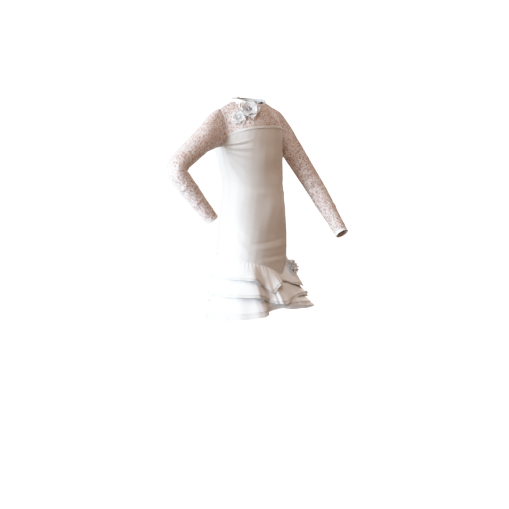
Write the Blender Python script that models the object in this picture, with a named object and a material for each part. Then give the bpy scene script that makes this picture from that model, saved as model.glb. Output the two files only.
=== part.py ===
"""Child's ballroom dance dress, worn form: stretch sheath, lace yoke and sleeves, three flounces.

The wearer faces -Y, their left is +X. The origin is the middle of the neck opening.
"""

import math

import bpy
import numpy as np

SEAM = 0.0003
SATIN = 0.0016
LACE = 0.0012
FLOUNCE = 0.0013
BRAID = 0.0011
ORGANZA = 0.0010

CHEST_SEAM = -0.071
CHEST_DIP = 0.024
ARMPIT = -0.122
SHEATH_END = -0.516
SQUARENESS = 2.3
ARMHOLE_TURN = math.radians(21)

# One row for each measured level of the figure, top to bottom.
FIGURE_COLUMNS = ("height", "half_width", "front", "back", "shift_x", "shift_y")
FIGURE = (
    (-0.060, 0.1030, 0.0760, 0.0740, 0.000, 0.000),
    (-0.110, 0.1025, 0.0800, 0.0780, 0.000, 0.000),
    (-0.160, 0.0970, 0.0785, 0.0745, 0.003, -0.003),
    (-0.232, 0.0885, 0.0755, 0.0700, 0.009, -0.008),
    (-0.300, 0.0945, 0.0780, 0.0760, 0.010, -0.009),
    (-0.370, 0.1010, 0.0790, 0.0850, 0.010, -0.009),
    (-0.440, 0.1035, 0.0790, 0.0860, 0.009, -0.008),
    (-0.520, 0.1030, 0.0790, 0.0830, 0.009, -0.008),
)

NECK = {"half_width": 0.052, "front": 0.046, "back": 0.041}
NECK_HEIGHT = {"front": -0.016, "side": -0.001, "back": 0.003}
BINDING_HEIGHT = 0.0055
BINDING_LEAN = 0.04
BUTTON = 0.0042
KEYHOLE = 0.040
SHOULDER_TIP = (0.1010, 0.004, -0.022)
SHOULDER_RISE = 0.003
NECK_SHARE = 0.50
BACK_PARTING = 0.035
BAND_HALF = 0.0032
YOKE_DEPTH = 0.07

# One row for each station of an arm: how far along, and the sleeve's radius there.
SLEEVE_COLUMNS = ("share", "radius")
SLEEVE = (
    (0.00, 0.0400),
    (0.18, 0.0315),
    (0.36, 0.0290),
    (0.52, 0.0270),
    (0.60, 0.0262),
    (0.72, 0.0244),
    (0.86, 0.0205),
    (1.00, 0.0178),
)
ARMS = {
    "right": {
        "side": -1,
        "elbow": (-0.290, -0.017, -0.176),
        "wrist": (-0.186, -0.053, -0.314),
    },
    "left": {
        "side": 1,
        "elbow": (0.185, -0.083, -0.243),
        "wrist": (0.181, -0.190, -0.368),
    },
}
SHOULDER_JOINT = (0.104, 0.000, -0.059)
CUFF_LENGTH = 0.009
ELBOW_BEND = 0.036
CAP_REACH = 0.100
STATIONS = 200

# One row for each fold of a flounce: where round the hips it stands, in degrees from the
# front towards the left, the height of its seam and of its hem, and how far the hem flares.
FOLD_COLUMNS = ("angle", "seam", "hem", "flare")
FLOUNCES = {
    "upper": (
        (-168, -0.425, -0.494, 0.028),
        (-135, -0.420, -0.488, 0.017),
        (-104, -0.426, -0.483, 0.020),
        (-74, -0.434, -0.481, 0.030),
        (-46, -0.441, -0.484, 0.036),
        (-34, -0.445, -0.508, 0.016),
        (-23, -0.450, -0.524, 0.034),
        (-5, -0.460, -0.502, 0.035),
        (14, -0.474, -0.495, 0.016),
        (27, -0.480, -0.500, 0.019),
        (45, -0.448, -0.516, 0.048),
        (66, -0.436, -0.522, 0.052),
        (104, -0.430, -0.512, 0.036),
        (148, -0.428, -0.502, 0.036),
    ),
    "middle": (
        (-168, -0.462, -0.546, 0.042),
        (-135, -0.458, -0.537, 0.026),
        (-104, -0.458, -0.530, 0.030),
        (-74, -0.460, -0.528, 0.040),
        (-46, -0.464, -0.529, 0.047),
        (-34, -0.472, -0.545, 0.021),
        (-22, -0.480, -0.551, 0.042),
        (-6, -0.486, -0.552, 0.053),
        (14, -0.490, -0.545, 0.047),
        (38, -0.492, -0.537, 0.054),
        (62, -0.484, -0.553, 0.066),
        (100, -0.474, -0.560, 0.056),
        (148, -0.466, -0.552, 0.053),
    ),
    "lower": (
        (-168, -0.500, -0.602, 0.052),
        (-135, -0.500, -0.603, 0.033),
        (-104, -0.498, -0.599, 0.039),
        (-74, -0.498, -0.592, 0.048),
        (-46, -0.500, -0.582, 0.055),
        (-34, -0.503, -0.574, 0.023),
        (-22, -0.505, -0.568, 0.036),
        (-6, -0.507, -0.564, 0.048),
        (18, -0.508, -0.562, 0.062),
        (44, -0.508, -0.570, 0.082),
        (66, -0.506, -0.588, 0.076),
        (95, -0.502, -0.603, 0.066),
        (140, -0.500, -0.603, 0.068),
    ),
}
BELLY = {"upper": 0.0, "middle": 0.3, "lower": 0.2}
BRAID_WIDTH = {"upper": 0.007, "middle": 0.008, "lower": 0.014}
BRAID_GAP = 0.009
RIPPLES = 9
RIPPLE_DEPTH = 0.0022

# The deep fold leans to the left as it falls: radians for each metre below its top.
DEEP_FOLD = math.radians(-34)
DEEP_SLANT = 2.15
SLANT_TOP = -0.440
SLANT_WIDTH = math.radians(30)
CLOSER = 0.42

AROUND_BODY = 18
AROUND_SLEEVE = 18
AROUND_FLOUNCE = 64

FLOWER_HOLE = 0.0022
FLOWER_SEAT = 0.0006
PETAL_STEPS = (0.0, 0.45, 1.0)
PETAL_RISE = 0.6
PETAL_DROOP = 0.25
NECK_FLOWERS = (
    {"name": "neck_flower_large", "across": -0.32, "rise": 0.60, "radius": 0.0290, "petals": 5,
     "notch": 0.42, "lift": 0.0130, "sharpness": 0.6, "stone": 0.0052, "steps": 6},
    {"name": "neck_flower_small", "across": -0.66, "rise": 0.40, "radius": 0.0210, "petals": 5,
     "notch": 0.42, "lift": 0.0020, "sharpness": 0.6, "stone": 0.0046, "steps": 6},
)
HIP_FLOWER = {"name": "hip_flower", "turn": math.radians(46), "rise": 0.74, "radius": 0.0235,
              "petals": 11, "notch": 0.60, "lift": 0.0120, "sharpness": 1.2, "stone": 0.0042,
              "steps": 4}

# A stone's outline from its flat base up to its table, in shares of its radius.
STONE_PROFILE = ((0.86, 0.0), (1.0, 0.22), (0.78, 0.62), (0.42, 0.84))
STONE_SIDES = 12


def clear_scene():
    for obj in list(bpy.data.objects):
        bpy.data.objects.remove(obj, do_unlink=True)


def finish_of(name, colour, roughness, metallic=0.0):
    material = bpy.data.materials.new(name)
    material.use_nodes = True
    shader = material.node_tree.nodes["Principled BSDF"]
    shader.inputs["Base Color"].default_value = (*colour, 1.0)
    shader.inputs["Roughness"].default_value = roughness
    shader.inputs["Metallic"].default_value = metallic
    return material


def column(table, columns, name):
    return np.array([row[columns.index(name)] for row in table], float)


def smooth_between(x, knots, values):
    """A smooth curve through the values, without overshoot."""
    slopes = np.diff(values) / np.diff(knots)
    tangents = np.zeros(len(values))
    same = slopes[:-1] * slopes[1:] > 0
    total = np.where(same, slopes[:-1] + slopes[1:], 1)
    tangents[1:-1] = np.where(same, 2 * slopes[:-1] * slopes[1:] / total, 0)
    tangents[0], tangents[-1] = slopes[0], slopes[-1]
    x = np.clip(x, knots[0], knots[-1])
    i = np.clip(np.searchsorted(knots, x) - 1, 0, len(knots) - 2)
    step = knots[i + 1] - knots[i]
    t = (x - knots[i]) / step
    low = (2 * t**3 - 3 * t**2 + 1) * values[i] + (t**3 - 2 * t**2 + t) * step * tangents[i]
    high = (3 * t**2 - 2 * t**3) * values[i + 1] + (t**3 - t**2) * step * tangents[i + 1]
    return low + high


def figure_at(name, height):
    knots = -column(FIGURE, FIGURE_COLUMNS, "height")
    return smooth_between(-height, knots, column(FIGURE, FIGURE_COLUMNS, name))


def power(value, exponent):
    return np.sign(value) * np.abs(value) ** exponent


def torso(turn, height):
    """The sheath's outer points. turn is 0 at the front and grows towards the left side."""
    depth = np.where(np.cos(turn) > 0, figure_at("front", height), figure_at("back", height))
    x = figure_at("half_width", height) * power(np.sin(turn), 2 / SQUARENESS)
    y = -depth * power(np.cos(turn), 2 / SQUARENESS)
    x = x + figure_at("shift_x", height)
    return np.stack([x, y + figure_at("shift_y", height), height + 0 * x], axis=-1)


def armhole_turn(height):
    """How far the panel reaches round at this height: to the side seam, or to the armhole."""
    rise = np.clip((height - ARMPIT) / (CHEST_SEAM - ARMPIT), 0, 1)
    return math.pi / 2 - ARMHOLE_TURN * rise**0.62


def sheath(facing):
    """One panel. across is -1 to 1, level is the height, stretched to the dipping chest seam."""

    def point(across, level):
        rise = np.maximum(level - ARMPIT, 0) / (CHEST_SEAM - ARMPIT)
        height = level - CHEST_DIP * rise * np.abs(across) ** 2.5
        turn = across * (armhole_turn(height) - SEAM / figure_at("half_width", height))
        return torso(turn if facing > 0 else math.pi - turn, height)

    return point


def bezier(a, b, c, d, t):
    return a * (1 - t) ** 3 + 3 * b * t * (1 - t) ** 2 + 3 * c * t**2 * (1 - t) + d * t**3


def neckline(turn):
    """The edge of the neck opening, at any angle from the front."""
    facing = np.cos(turn)
    depth = np.where(facing > 0, NECK["front"], NECK["back"])
    end = np.where(facing > 0, NECK_HEIGHT["front"], NECK_HEIGHT["back"])
    height = NECK_HEIGHT["side"] + (end - NECK_HEIGHT["side"]) * facing**2
    return np.stack([NECK["half_width"] * np.sin(turn), -depth * facing, height], axis=-1)


def yoke_top(across, facing):
    """The yoke's upper edge: the neckline in the middle, a shoulder seam on each side."""
    side = np.sign(across)
    part = np.clip(np.abs(across) / NECK_SHARE, 0, 1) * math.pi / 2
    turn = side * part if facing > 0 else math.pi - side * part
    neck = neckline(turn)
    along = np.clip((np.abs(across) - NECK_SHARE) / (1 - NECK_SHARE), 0, 1)[..., None]
    level = 0 * across
    start = np.stack([side * NECK["half_width"], level, level + NECK_HEIGHT["side"]], axis=-1)
    end = np.stack([side * SHOULDER_TIP[0], level + SHOULDER_TIP[1], level + SHOULDER_TIP[2]], axis=-1)
    slope = start + (end - start) * along
    slope[..., 2] += SHOULDER_RISE * np.sin(math.pi * along[..., 0])
    top = np.where(np.abs(across)[..., None] <= NECK_SHARE, neck, slope)
    top[..., 1] -= facing * SEAM * np.clip(4 * np.abs(across) - 1.6, 0, 1)
    return top


def yoke(facing):
    def point(across, rise):
        base = sheath(facing)(across, CHEST_SEAM + 0 * across)
        top = yoke_top(across, facing)
        reach = np.abs(across)
        bulge = facing * (0.002 + 0 * across)
        lower = base + np.stack([0.002 * across, bulge, 0.026 - 0.008 * reach], axis=-1)
        lean = facing * (0.013 + 0.010 * reach)
        upper = top + np.stack([0.004 * across**3, -lean, -0.014 + 0.010 * reach], axis=-1)
        return bezier(base, lower, upper, top, rise[..., None])

    return point


def normals_of(point, u, v, closed_u):
    """Unit normals of the surface, by small differences."""
    du, dv = 1e-4 * (np.max(u) - np.min(u)), 1e-4 * (np.max(v) - np.min(v))
    low_u = u - du if closed_u else np.maximum(u - du, np.min(u))
    high_u = u + du if closed_u else np.minimum(u + du, np.max(u))
    low_v, high_v = np.maximum(v - dv, np.min(v)), np.minimum(v + dv, np.max(v))
    across = point(high_u, v) - point(low_u, v)
    along = point(u, high_v) - point(u, low_v)
    normal = np.cross(across, along)
    return normal / np.linalg.norm(normal, axis=-1, keepdims=True)


def make_wall(name, outer, inner, closed, material):
    """A thin closed wall between two grids of points, joined along their open edges."""
    rows, count = outer.shape[:2]
    points = np.concatenate([outer.reshape(-1, 3), inner.reshape(-1, 3)])
    inside = rows * count
    steps = count if closed else count - 1
    faces = []
    for j in range(rows - 1):
        for i in range(steps):
            a, b = j * count + i, j * count + (i + 1) % count
            c, d = b + count, a + count
            faces.append((a, b, c, d))
            faces.append((inside + d, inside + c, inside + b, inside + a))
    for i in range(steps):
        a, b = i, (i + 1) % count
        faces.append((b, a, inside + a, inside + b))
        c, d = (rows - 1) * count + a, (rows - 1) * count + b
        faces.append((c, d, inside + d, inside + c))
    if not closed:
        for j in range(rows - 1):
            a, b = j * count, (j + 1) * count
            faces.append((a, b, inside + b, inside + a))
            c, d = a + count - 1, b + count - 1
            faces.append((d, c, inside + c, inside + d))
    mesh = bpy.data.meshes.new(name)
    mesh.from_pydata(points.tolist(), [], faces)
    mesh.materials.append(material)
    mesh.validate()
    mesh.shade_smooth()
    mesh.set_sharp_from_angle(angle=math.radians(40))
    obj = bpy.data.objects.new(name, mesh)
    bpy.context.scene.collection.objects.link(obj)
    return obj


def cloth(name, point, us, vs, thick, material, closed=False, lift=0.0, outward=1):
    """A piece of cloth on a surface: its outer face is lifted, its inner face lies one thickness in."""
    u, v = np.meshgrid(us, vs)
    normal = outward * normals_of(point, u, v, closed)
    middle = point(u, v)
    outer = middle + normal * lift
    inner = middle + normal * (lift - thick)
    if outward < 0:
        outer, inner = outer[:, ::-1], inner[:, ::-1]
    return make_wall(name, outer, inner, closed, material)


def eased(low, high, count, pull=0.0):
    """Steps from low to high, drawn together at both ends by pull."""
    t = np.linspace(0, 1, count)
    return low + (high - low) * (t - pull * np.sin(2 * math.pi * t) / (2 * math.pi))


def turned_ring(count):
    return np.arange(count) * 2 * math.pi / count


def armhole_loop(side):
    """The armhole's edge from the armpit up the front, over the shoulder and down the back."""
    heights = np.linspace(ARMPIT, CHEST_SEAM, 12)
    rises = np.linspace(0.04, 1, 14)
    edge = side * np.ones(1)
    front = [sheath(1)(edge, np.array([h]))[0] for h in heights]
    front += [yoke(1)(edge, np.array([r]))[0] for r in rises]
    back = [sheath(-1)(edge, np.array([h]))[0] for h in heights]
    back += [yoke(-1)(edge, np.array([r]))[0] for r in rises]
    return np.array(front + back[::-1])


def loop_at(loop, share):
    """A point at this share of a closed loop's length."""
    ends = np.vstack([loop, loop[:1]])
    length = np.concatenate([[0], np.cumsum(np.linalg.norm(np.diff(ends, axis=0), axis=1))])
    at = np.mod(share, 1) * length[-1]
    return np.stack([np.interp(at, length, ends[:, k]) for k in range(3)], axis=-1)


def turn_between(a, b):
    """The smallest rotation that turns direction a to direction b."""
    axis, cosine = np.cross(a, b), float(np.dot(a, b))
    skew = np.array([[0, -axis[2], axis[1]], [axis[2], 0, -axis[0]], [-axis[1], axis[0], 0]])
    return np.eye(3) + skew + skew @ skew / (1 + cosine)


def unit(vector):
    return vector / np.linalg.norm(vector)


class Sleeve:
    """A fitted sleeve from the armhole, over the bent elbow, to the wrist."""

    def __init__(self, arm):
        self.side = arm["side"]
        shoulder = np.array(SHOULDER_JOINT) * (self.side, 1, 1)
        elbow, wrist = np.array(arm["elbow"]), np.array(arm["wrist"])
        upper, lower = unit(elbow - shoulder), unit(wrist - elbow)
        before, after = elbow - upper * ELBOW_BEND, elbow + lower * ELBOW_BEND
        t = np.linspace(0, 1, 60)[:, None]
        bend = before * (1 - t) ** 2 + 2 * elbow * t * (1 - t) + after * t**2
        straight = shoulder + (before - shoulder) * t
        path = np.vstack([straight, bend[1:], after + (wrist - after) * t[1:]])
        length = np.concatenate([[0], np.cumsum(np.linalg.norm(np.diff(path, axis=0), axis=1))])
        self.length = length[-1]
        self.shares = np.linspace(0, 1, STATIONS)
        run = self.shares * self.length
        self.centres = np.stack([np.interp(run, length, path[:, k]) for k in range(3)], axis=1)
        ways = np.gradient(self.centres, axis=0)
        self.ways = ways / np.linalg.norm(ways, axis=1, keepdims=True)
        frame = turn_between(np.array([self.side, 0.0, 0.0]), self.ways[0])
        up, front = frame @ (0.0, 0.0, 1.0), frame @ (0.0, -1.0, 0.0)
        ups, fronts = [up], [front]
        for k in range(1, STATIONS):
            step = turn_between(self.ways[k - 1], self.ways[k])
            up, front = step @ up, step @ front
            ups.append(up)
            fronts.append(front)
        self.ups, self.fronts = np.array(ups), np.array(fronts)
        self.loop = armhole_loop(self.side)
        self.cap_share = CAP_REACH / self.length

    def along(self, values, share):
        return np.stack([np.interp(share, self.shares, values[:, k]) for k in range(3)], axis=-1)

    def ring(self, angle, share):
        """Points round the arm. The angle starts at the armpit side and turns over the front."""
        shares, radii = (column(SLEEVE, SLEEVE_COLUMNS, name) for name in SLEEVE_COLUMNS)
        radius = np.interp(share, shares, radii)
        up = -np.cos(angle)[..., None] * self.along(self.ups, share)
        front = np.sin(angle)[..., None] * self.along(self.fronts, share)
        return self.along(self.centres, share) + (up + front) * radius[..., None]

    def point(self, angle, share):
        start = loop_at(self.loop, angle / (2 * math.pi))
        start = start + np.array([self.side * 3 * SEAM, 0, 0])
        topness = (1 - np.cos(angle))[..., None] / 2
        out = np.array([self.side * 1.0, 0, 0])
        cap_end = self.ring(angle, 0 * share + self.cap_share)
        way = self.along(self.ways, 0 * share + self.cap_share)
        t = np.clip(share / self.cap_share, 0, 1)[..., None]
        first = start + out * (0.010 + 0.020 * topness) + way * 0.010 * (1 - topness)
        second = cap_end - way * (0.016 + 0.022 * topness)
        cap = bezier(start, first, second, cap_end, t)
        return np.where(share[..., None] < self.cap_share, cap, self.ring(angle, share))


def section_radius(turn, height):
    """The sheath's radius in a true direction, measured from its own middle."""
    depth = np.where(np.cos(turn) > 0, figure_at("front", height), figure_at("back", height))
    wide = (np.abs(np.sin(turn)) / figure_at("half_width", height)) ** SQUARENESS
    deep = (np.abs(np.cos(turn)) / depth) ** SQUARENESS
    return (wide + deep) ** (-1 / SQUARENESS)


def fold_at(table, name, turn):
    """A value of the fold table, read smoothly and without an end round the hips."""
    angles = np.radians(column(table, FOLD_COLUMNS, "angle"))
    values = column(table, FOLD_COLUMNS, name)
    knots = np.concatenate([angles[-3:] - 2 * math.pi, angles, angles[:3] + 2 * math.pi])
    values = np.concatenate([values[-3:], values, values[:3]])
    wrapped = np.mod(turn + math.pi, 2 * math.pi) - math.pi
    return smooth_between(wrapped, knots, values)


def flounce(name):
    """Outer points of a flounce. rise is 0 at the hem and 1 at the seam on the sheath."""

    table = FLOUNCES[name]

    def point(turn, rise):
        turn = np.mod(turn + math.pi, 2 * math.pi) - math.pi
        drop = 1 - rise
        seam, hem = fold_at(table, "seam", turn), fold_at(table, "hem", turn)
        height = seam + (hem - seam) * drop
        ripple = RIPPLE_DEPTH * np.cos(RIPPLES * turn) * drop**2
        flare = fold_at(table, "flare", turn) * drop * (1 + BELLY[name] * (1 - drop))
        lean = DEEP_SLANT * (SLANT_TOP - height) * np.exp(-(((turn - DEEP_FOLD) / SLANT_WIDTH) ** 2))
        turned = turn + lean
        reach = section_radius(turned, height) + flare + ripple
        x = reach * np.sin(turned) + figure_at("shift_x", height)
        y = -reach * np.cos(turned) + figure_at("shift_y", height)
        return np.stack([x, y, height], axis=-1)

    return point


def braid_share(table, width):
    """The share of a flounce's depth that its stiff hem braid takes, at its mean depth."""
    depth = column(table, FOLD_COLUMNS, "seam") - column(table, FOLD_COLUMNS, "hem")
    return width / float(np.mean(depth))


def flower(seat, facing, sizes):
    """A ring of petals round a seat point. share is 0 at the middle and 1 at the petals' tips."""
    facing = unit(np.array(facing))
    side = unit(np.cross((0.0, 0.0, 1.0), facing))
    up = np.cross(facing, side)

    def point(angle, share):
        lobe = np.abs(np.cos(sizes["petals"] * angle / 2)) ** sizes["sharpness"]
        edge = sizes["radius"] * (1 - sizes["notch"] * (1 - lobe))
        reach = FLOWER_HOLE + (edge - FLOWER_HOLE) * share
        droop = PETAL_DROOP * share**2 * (1 - lobe)
        lift = FLOWER_SEAT + sizes["lift"] * (share**PETAL_RISE - droop)
        spread = side * np.cos(angle)[..., None] + up * np.sin(angle)[..., None]
        return seat + facing * lift[..., None] + spread * reach[..., None]

    return point


def stone(name, seat, facing, radius, lift, material):
    """A faceted stone, flat below and cut to a small table above."""
    facing = unit(np.array(facing))
    side = unit(np.cross((0.0, 0.0, 1.0), facing))
    up = np.cross(facing, side)
    count, last = STONE_SIDES, len(STONE_PROFILE) - 1
    points, faces = [], []
    for reach, high in STONE_PROFILE:
        for angle in turned_ring(count):
            spread = side * math.cos(angle) + up * math.sin(angle)
            points.append(seat + spread * reach * radius + facing * (lift + high * radius))
    for j in range(last):
        for i in range(count):
            a, b = j * count + i, j * count + (i + 1) % count
            faces.append((a, b, b + count, a + count))
    faces.append(tuple(range(count))[::-1])
    faces.append(tuple(last * count + i for i in range(count)))
    mesh = bpy.data.meshes.new(name)
    mesh.from_pydata([tuple(p) for p in points], [], faces)
    mesh.materials.append(material)
    obj = bpy.data.objects.new(name, mesh)
    bpy.context.scene.collection.objects.link(obj)


def make_sheath(satin):
    across = eased(-1, 1, AROUND_BODY, 0.25)
    below = np.linspace(SHEATH_END, ARMPIT, 14)
    above = ARMPIT + (CHEST_SEAM - SEAM / 2 - ARMPIT) * np.array([0.08, 0.25, 0.5, 0.75, 1.0])
    heights = np.concatenate([below, above])
    cloth("body_front", sheath(1), across, heights, SATIN, satin)
    cloth("body_back", sheath(-1), across, heights, SATIN, satin, outward=-1)


def make_yoke(lace, satin):
    across = eased(-1, 1, AROUND_BODY, 0.25)
    rises = np.linspace(0.004, 0.994, 8)
    cloth("yoke_front", yoke(1), across, rises, LACE, lace)
    half = np.linspace(0.006, 1, AROUND_BODY // 2)

    def parted(u, v):
        """The back yoke, parted at its middle by a keyhole."""
        opening = KEYHOLE * np.sin(math.pi * np.clip(v, 0, 1)) ** 1.5
        return yoke(-1)(u + np.sign(u) * opening * (1 - np.abs(u)), v)

    cloth("yoke_back_left", parted, half, rises, LACE, lace, outward=-1)
    cloth("yoke_back_right", parted, -half[::-1], rises, LACE, lace, outward=-1)


def make_chest_band(satin):
    """A narrow folded strip sewn over the seam between lace and satin."""
    across = eased(-0.985, 0.985, AROUND_BODY, 0.25)
    levels = np.array([-BAND_HALF, -0.001, 0.001, BAND_HALF])
    for name, facing in (("chest_band_front", 1), ("chest_band_back", -1)):

        def point(u, v, facing=facing):
            low = sheath(facing)(u, CHEST_SEAM + np.minimum(v, 0))
            high = yoke(facing)(u, np.maximum(v, 0) / YOKE_DEPTH)
            return np.where(v[..., None] < 0, low, high)

        cloth(name, point, across, levels, LACE, satin, lift=SEAM + LACE, outward=facing)


def make_binding(satin):
    """The narrow neck binding, open at the middle of the back."""
    end = math.pi - BACK_PARTING
    turns = np.linspace(-end, end, 44)

    def point(turn, rise):
        edge = neckline(turn)
        edge[..., 2] += SEAM * 3 + rise * BINDING_HEIGHT
        edge[..., :2] *= 1 - BINDING_LEAN * rise[..., None]
        return edge

    cloth("neck_binding", point, turns, np.array([0.0, 0.5, 1.0]), SATIN, satin)


def make_button(satin):
    rise = 0.6
    height = NECK_HEIGHT["back"] + 3 * SEAM + rise * BINDING_HEIGHT
    seat = np.array([0.003, NECK["back"] * (1 - rise * BINDING_LEAN), height])
    stone("neck_button", seat, (0.0, 1.0, 0.3), BUTTON, SEAM, satin)


def make_sleeves(lace, satin):
    angles = turned_ring(AROUND_SLEEVE)
    for name, arm in ARMS.items():
        sleeve, side = Sleeve(arm), arm["side"]
        cuff_start = 1 - CUFF_LENGTH / sleeve.length
        seam = SEAM / sleeve.length
        cap = np.linspace(0, sleeve.cap_share, 6)
        rest = np.linspace(sleeve.cap_share, cuff_start - seam, 15)[1:]
        shares = np.concatenate([cap, rest])
        cuff = np.linspace(cuff_start, 1, 3)
        point = sleeve.point
        cloth("sleeve_" + name, point, angles, shares, LACE, lace, closed=True, outward=side)
        cloth("cuff_" + name, point, angles, cuff, SATIN, satin, closed=True, outward=side)


def make_flounces(satin, braid):
    even = turned_ring(AROUND_FLOUNCE)
    turns = even - CLOSER * np.sin(even - DEEP_FOLD)
    seat = SEAM + FLOUNCE
    for name, table in FLOUNCES.items():
        share = braid_share(table, BRAID_WIDTH[name])
        rises = np.linspace(share, 1, 5)
        cloth("flounce_" + name, flounce(name), turns, rises, FLOUNCE, satin, closed=True, lift=seat)
        low = np.array([0.0, share - BRAID_GAP])
        cloth("hem_braid_" + name, flounce(name), turns, low, BRAID, braid, closed=True, lift=seat)


def on_yoke(across, rise):
    u, v = np.array([[across]]), np.array([[rise]])
    near = 0.01
    along_u = yoke(1)(u + near, v) - yoke(1)(u - near, v)
    along_v = yoke(1)(u, v + near) - yoke(1)(u, v - near)
    return yoke(1)(u, v)[0, 0], unit(np.cross(along_u, along_v)[0, 0])


def on_flounce(name, turn, rise):
    u, v = np.array([[turn]]), np.array([[rise]])
    near = 0.01
    along_u = flounce(name)(u + near, v) - flounce(name)(u - near, v)
    along_v = flounce(name)(u, v + near) - flounce(name)(u, v - near)
    return flounce(name)(u, v)[0, 0], unit(np.cross(along_u, along_v)[0, 0])


def make_flower(seat, facing, sizes, organza, crystal):
    name = sizes["name"]
    angles = turned_ring(sizes["petals"] * sizes["steps"])
    cloth(name, flower(seat, facing, sizes), angles, np.array(PETAL_STEPS), ORGANZA, organza,
          closed=True, lift=ORGANZA, outward=-1)
    notch_edge = sizes["radius"] * (1 - sizes["notch"])
    base = STONE_PROFILE[0][0] * sizes["stone"]
    share = (base - FLOWER_HOLE) / (notch_edge - FLOWER_HOLE)
    slope = sizes["lift"] * PETAL_STEPS[1] ** (PETAL_RISE - 1)
    wall = ORGANZA * math.hypot(1, slope / (notch_edge - FLOWER_HOLE))
    lift = FLOWER_SEAT + slope * share + wall + SEAM
    stone(name + "_stone", seat, facing, sizes["stone"], lift, crystal)


def make_flowers(organza, crystal):
    for sizes in NECK_FLOWERS:
        seat, facing = on_yoke(sizes["across"], sizes["rise"])
        make_flower(seat, facing, sizes, organza, crystal)
    seat, facing = on_flounce("upper", HIP_FLOWER["turn"], HIP_FLOWER["rise"])
    seat = seat + facing * (SEAM + FLOUNCE)
    make_flower(seat, facing, HIP_FLOWER, organza, crystal)


def main():
    clear_scene()
    satin = finish_of("satin", (0.86, 0.85, 0.83), 0.32)
    lace = finish_of("lace", (0.88, 0.85, 0.83), 0.70)
    braid = finish_of("hem braid", (0.80, 0.79, 0.80), 0.45)
    organza = finish_of("organza", (0.90, 0.90, 0.91), 0.40)
    crystal = finish_of("grey stone", (0.45, 0.47, 0.50), 0.12, 0.5)
    make_sheath(satin)
    make_yoke(lace, satin)
    make_chest_band(satin)
    make_binding(satin)
    make_button(satin)
    make_sleeves(lace, satin)
    make_flounces(satin, braid)
    make_flowers(organza, crystal)


main()
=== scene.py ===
import math

import bpy
import numpy as np
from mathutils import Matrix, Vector


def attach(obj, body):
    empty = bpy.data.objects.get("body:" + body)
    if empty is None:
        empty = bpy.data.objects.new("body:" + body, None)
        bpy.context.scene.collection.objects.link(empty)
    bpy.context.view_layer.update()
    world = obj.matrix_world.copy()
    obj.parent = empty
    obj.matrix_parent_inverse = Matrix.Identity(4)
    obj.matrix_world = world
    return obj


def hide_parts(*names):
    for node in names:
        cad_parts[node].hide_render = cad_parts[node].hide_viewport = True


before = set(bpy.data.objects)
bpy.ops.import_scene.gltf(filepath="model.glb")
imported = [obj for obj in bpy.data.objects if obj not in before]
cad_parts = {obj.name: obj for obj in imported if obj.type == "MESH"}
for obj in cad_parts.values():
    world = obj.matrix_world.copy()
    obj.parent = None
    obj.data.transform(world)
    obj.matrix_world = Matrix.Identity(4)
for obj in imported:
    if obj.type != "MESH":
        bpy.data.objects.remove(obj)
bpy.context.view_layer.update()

print("frame loaded")

# The dress in one set of sizes, in metres: the same worn form as the solids.
seamGap = 0.0003
figureHeights = (-0.060, -0.110, -0.160, -0.232, -0.300, -0.370, -0.440, -0.520)
figure = {
    "halfWidth": (0.1030, 0.1025, 0.0970, 0.0885, 0.0945, 0.1010, 0.1035, 0.1030),
    "front": (0.0760, 0.0800, 0.0785, 0.0755, 0.0780, 0.0790, 0.0790, 0.0790),
    "back": (0.0740, 0.0780, 0.0745, 0.0700, 0.0760, 0.0850, 0.0860, 0.0830),
    "shiftX": (0.0, 0.0, 0.003, 0.009, 0.010, 0.010, 0.009, 0.009),
    "shiftY": (0.0, 0.0, -0.003, -0.008, -0.009, -0.009, -0.008, -0.008),
}
sheathSizes = {"chestSeam": -0.071, "chestDip": 0.024, "armpit": -0.122, "end": -0.516,
               "squareness": 2.3, "armholeTurn": math.radians(21)}
neckSizes = {"halfWidth": 0.052, "front": 0.046, "back": 0.041, "frontHeight": -0.016,
             "sideHeight": -0.001, "backHeight": 0.003, "bindingHeight": 0.0055,
             "bindingLean": 0.04, "keyhole": 0.040, "share": 0.50,
             "shoulderTip": (0.1010, 0.004, -0.022)}


def smoothBetween(x, knots, values):
    knots, values = np.asarray(knots, float), np.asarray(values, float)
    slopes = np.diff(values) / np.diff(knots)
    tangents = np.zeros(len(values))
    same = slopes[:-1] * slopes[1:] > 0
    total = np.where(same, slopes[:-1] + slopes[1:], 1)
    tangents[1:-1] = np.where(same, 2 * slopes[:-1] * slopes[1:] / total, 0)
    tangents[0], tangents[-1] = slopes[0], slopes[-1]
    x = np.clip(x, knots[0], knots[-1])
    i = np.clip(np.searchsorted(knots, x) - 1, 0, len(knots) - 2)
    step = knots[i + 1] - knots[i]
    t = (x - knots[i]) / step
    low = (2 * t**3 - 3 * t**2 + 1) * values[i] + (t**3 - 2 * t**2 + t) * step * tangents[i]
    high = (3 * t**2 - 2 * t**3) * values[i + 1] + (t**3 - t**2) * step * tangents[i + 1]
    return low + high


def figureAt(name, height):
    return smoothBetween(-height, [-h for h in figureHeights], figure[name])


def rounded(value):
    return np.sign(value) * np.abs(value) ** (2 / sheathSizes["squareness"])


def torsoPoint(turn, height):
    depth = np.where(np.cos(turn) > 0, figureAt("front", height), figureAt("back", height))
    x = figureAt("halfWidth", height) * rounded(np.sin(turn)) + figureAt("shiftX", height)
    y = -depth * rounded(np.cos(turn)) + figureAt("shiftY", height)
    return np.stack([x, y, height + 0 * x], axis=-1)


def armholeTurn(height):
    low = sheathSizes["armpit"]
    rise = np.clip((height - low) / (sheathSizes["chestSeam"] - low), 0, 1)
    return math.pi / 2 - sheathSizes["armholeTurn"] * rise**0.62


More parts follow.
